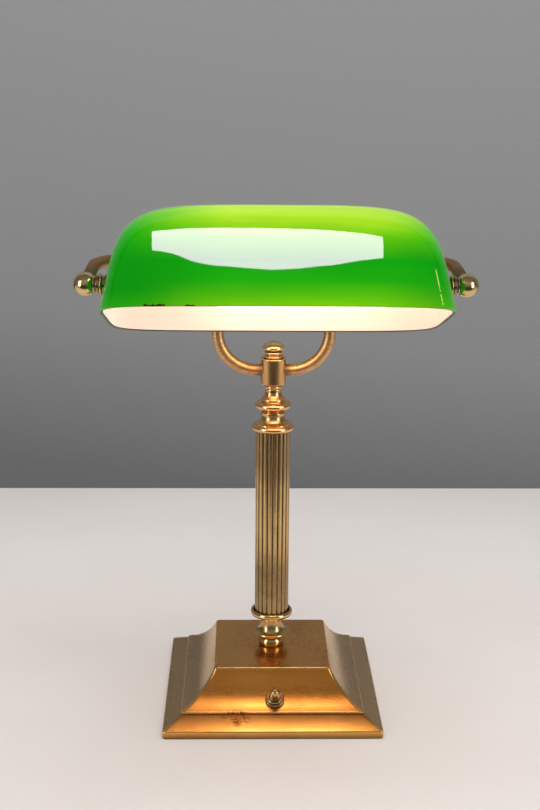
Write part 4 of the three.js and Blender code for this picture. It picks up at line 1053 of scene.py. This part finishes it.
def area_light(name, place, target, size, power, colour=(1, 1, 1)):
    """A rectangular light at a place, aimed at a target, with its width lying level."""
    lamp = bpy.data.lights.new(name, "AREA")
    lamp.shape = "RECTANGLE"
    lamp.size, lamp.size_y = size
    lamp.energy = power
    lamp.color = colour
    thing = bpy.data.objects.new(name, lamp)
    bpy.context.scene.collection.objects.link(thing)
    thing.location = place
    aim = np.array(target) - np.array(place)
    z = -aim / np.linalg.norm(aim)
    x = np.cross((0, 0, 1), z)
    x /= np.linalg.norm(x)
    turn = Matrix(np.column_stack([x, np.cross(z, x), z]).tolist())
    thing.rotation_mode = "QUATERNION"
    thing.rotation_quaternion = turn.to_quaternion()
    return thing


# Soft lights that show in no reflection, aimed low at the lamp's middle.
LAMP_MIDDLE = (0, -0.05, 0.1)
for name, place, size, power in (
    ("overhead", (0.1, -0.5, 1.7), (1.6, 1.2), 22),
    ("back_fill", (0.0, 0.25, 1.5), (1.8, 0.4), 5),
    ("left_fill", (-1.6, -0.7, 0.9), (0.6, 1.2), 5),
    ("right_fill", (1.6, -0.7, 0.9), (0.6, 1.2), 5),
):
    area_light(name, place, LAMP_MIDDLE, size, power).visible_glossy = False

# Lights that show only in what the brass reflects: cool strips at the sides, a warm glow in front.
STRIP_SIZE, STRIP_POWER, COOL, WARM_GLOW = (0.25, 0.9), 6, (0.7, 0.82, 1.0), (1.0, 0.82, 0.6)
for name, place, target, size, power, colour in (
    ("left_strip", (-1.0, -0.75, 0.5), (0, 0, 0.2), STRIP_SIZE, STRIP_POWER, COOL),
    ("right_strip", (1.0, -0.75, 0.5), (0, 0, 0.2), STRIP_SIZE, STRIP_POWER, COOL),
    ("front_glow", (0, -1.0, 0.85), (0, 0, 0.1), (1.2, 0.8), 0.5, WARM_GLOW),
):
    light = area_light(name, place, target, size, power, colour)
    light.light_linking.receiver_collection = on_brass
    light.visible_diffuse = False

world = bpy.data.worlds.new("soft_room")
world.use_nodes = True
background = world.node_tree.nodes["Background"].inputs
background["Color"].default_value = tone(235, 236, 240)
background["Strength"].default_value = 0.22
bpy.context.scene.world = world

# The camera, placed by a least-squares fit of the lamp's outlines, in metres and degrees.
CAMERA_PLACE = (-0.02234, -0.92640, 0.47394)
yaw, pitch, roll = math.radians(1.240), math.radians(15.012), math.radians(-0.454)
forward = np.array([math.sin(yaw) * math.cos(pitch), math.cos(yaw) * math.cos(pitch), -math.sin(pitch)])
level = np.array([math.cos(yaw), -math.sin(yaw), 0.0])
down = np.cross(forward, level)
right = math.cos(roll) * level + math.sin(roll) * down
down = -math.sin(roll) * level + math.cos(roll) * down
lens = bpy.data.cameras.new("camera")
lens.sensor_width = 36.0
lens.lens = 58.714
camera = bpy.data.objects.new("camera", lens)
bpy.context.scene.collection.objects.link(camera)
turn = Matrix(np.column_stack([right, -down, -forward]).tolist()).to_4x4()
camera.matrix_world = Matrix.Translation(CAMERA_PLACE) @ turn
bpy.context.scene.camera = camera
bpy.context.scene.view_settings.view_transform = "Standard"
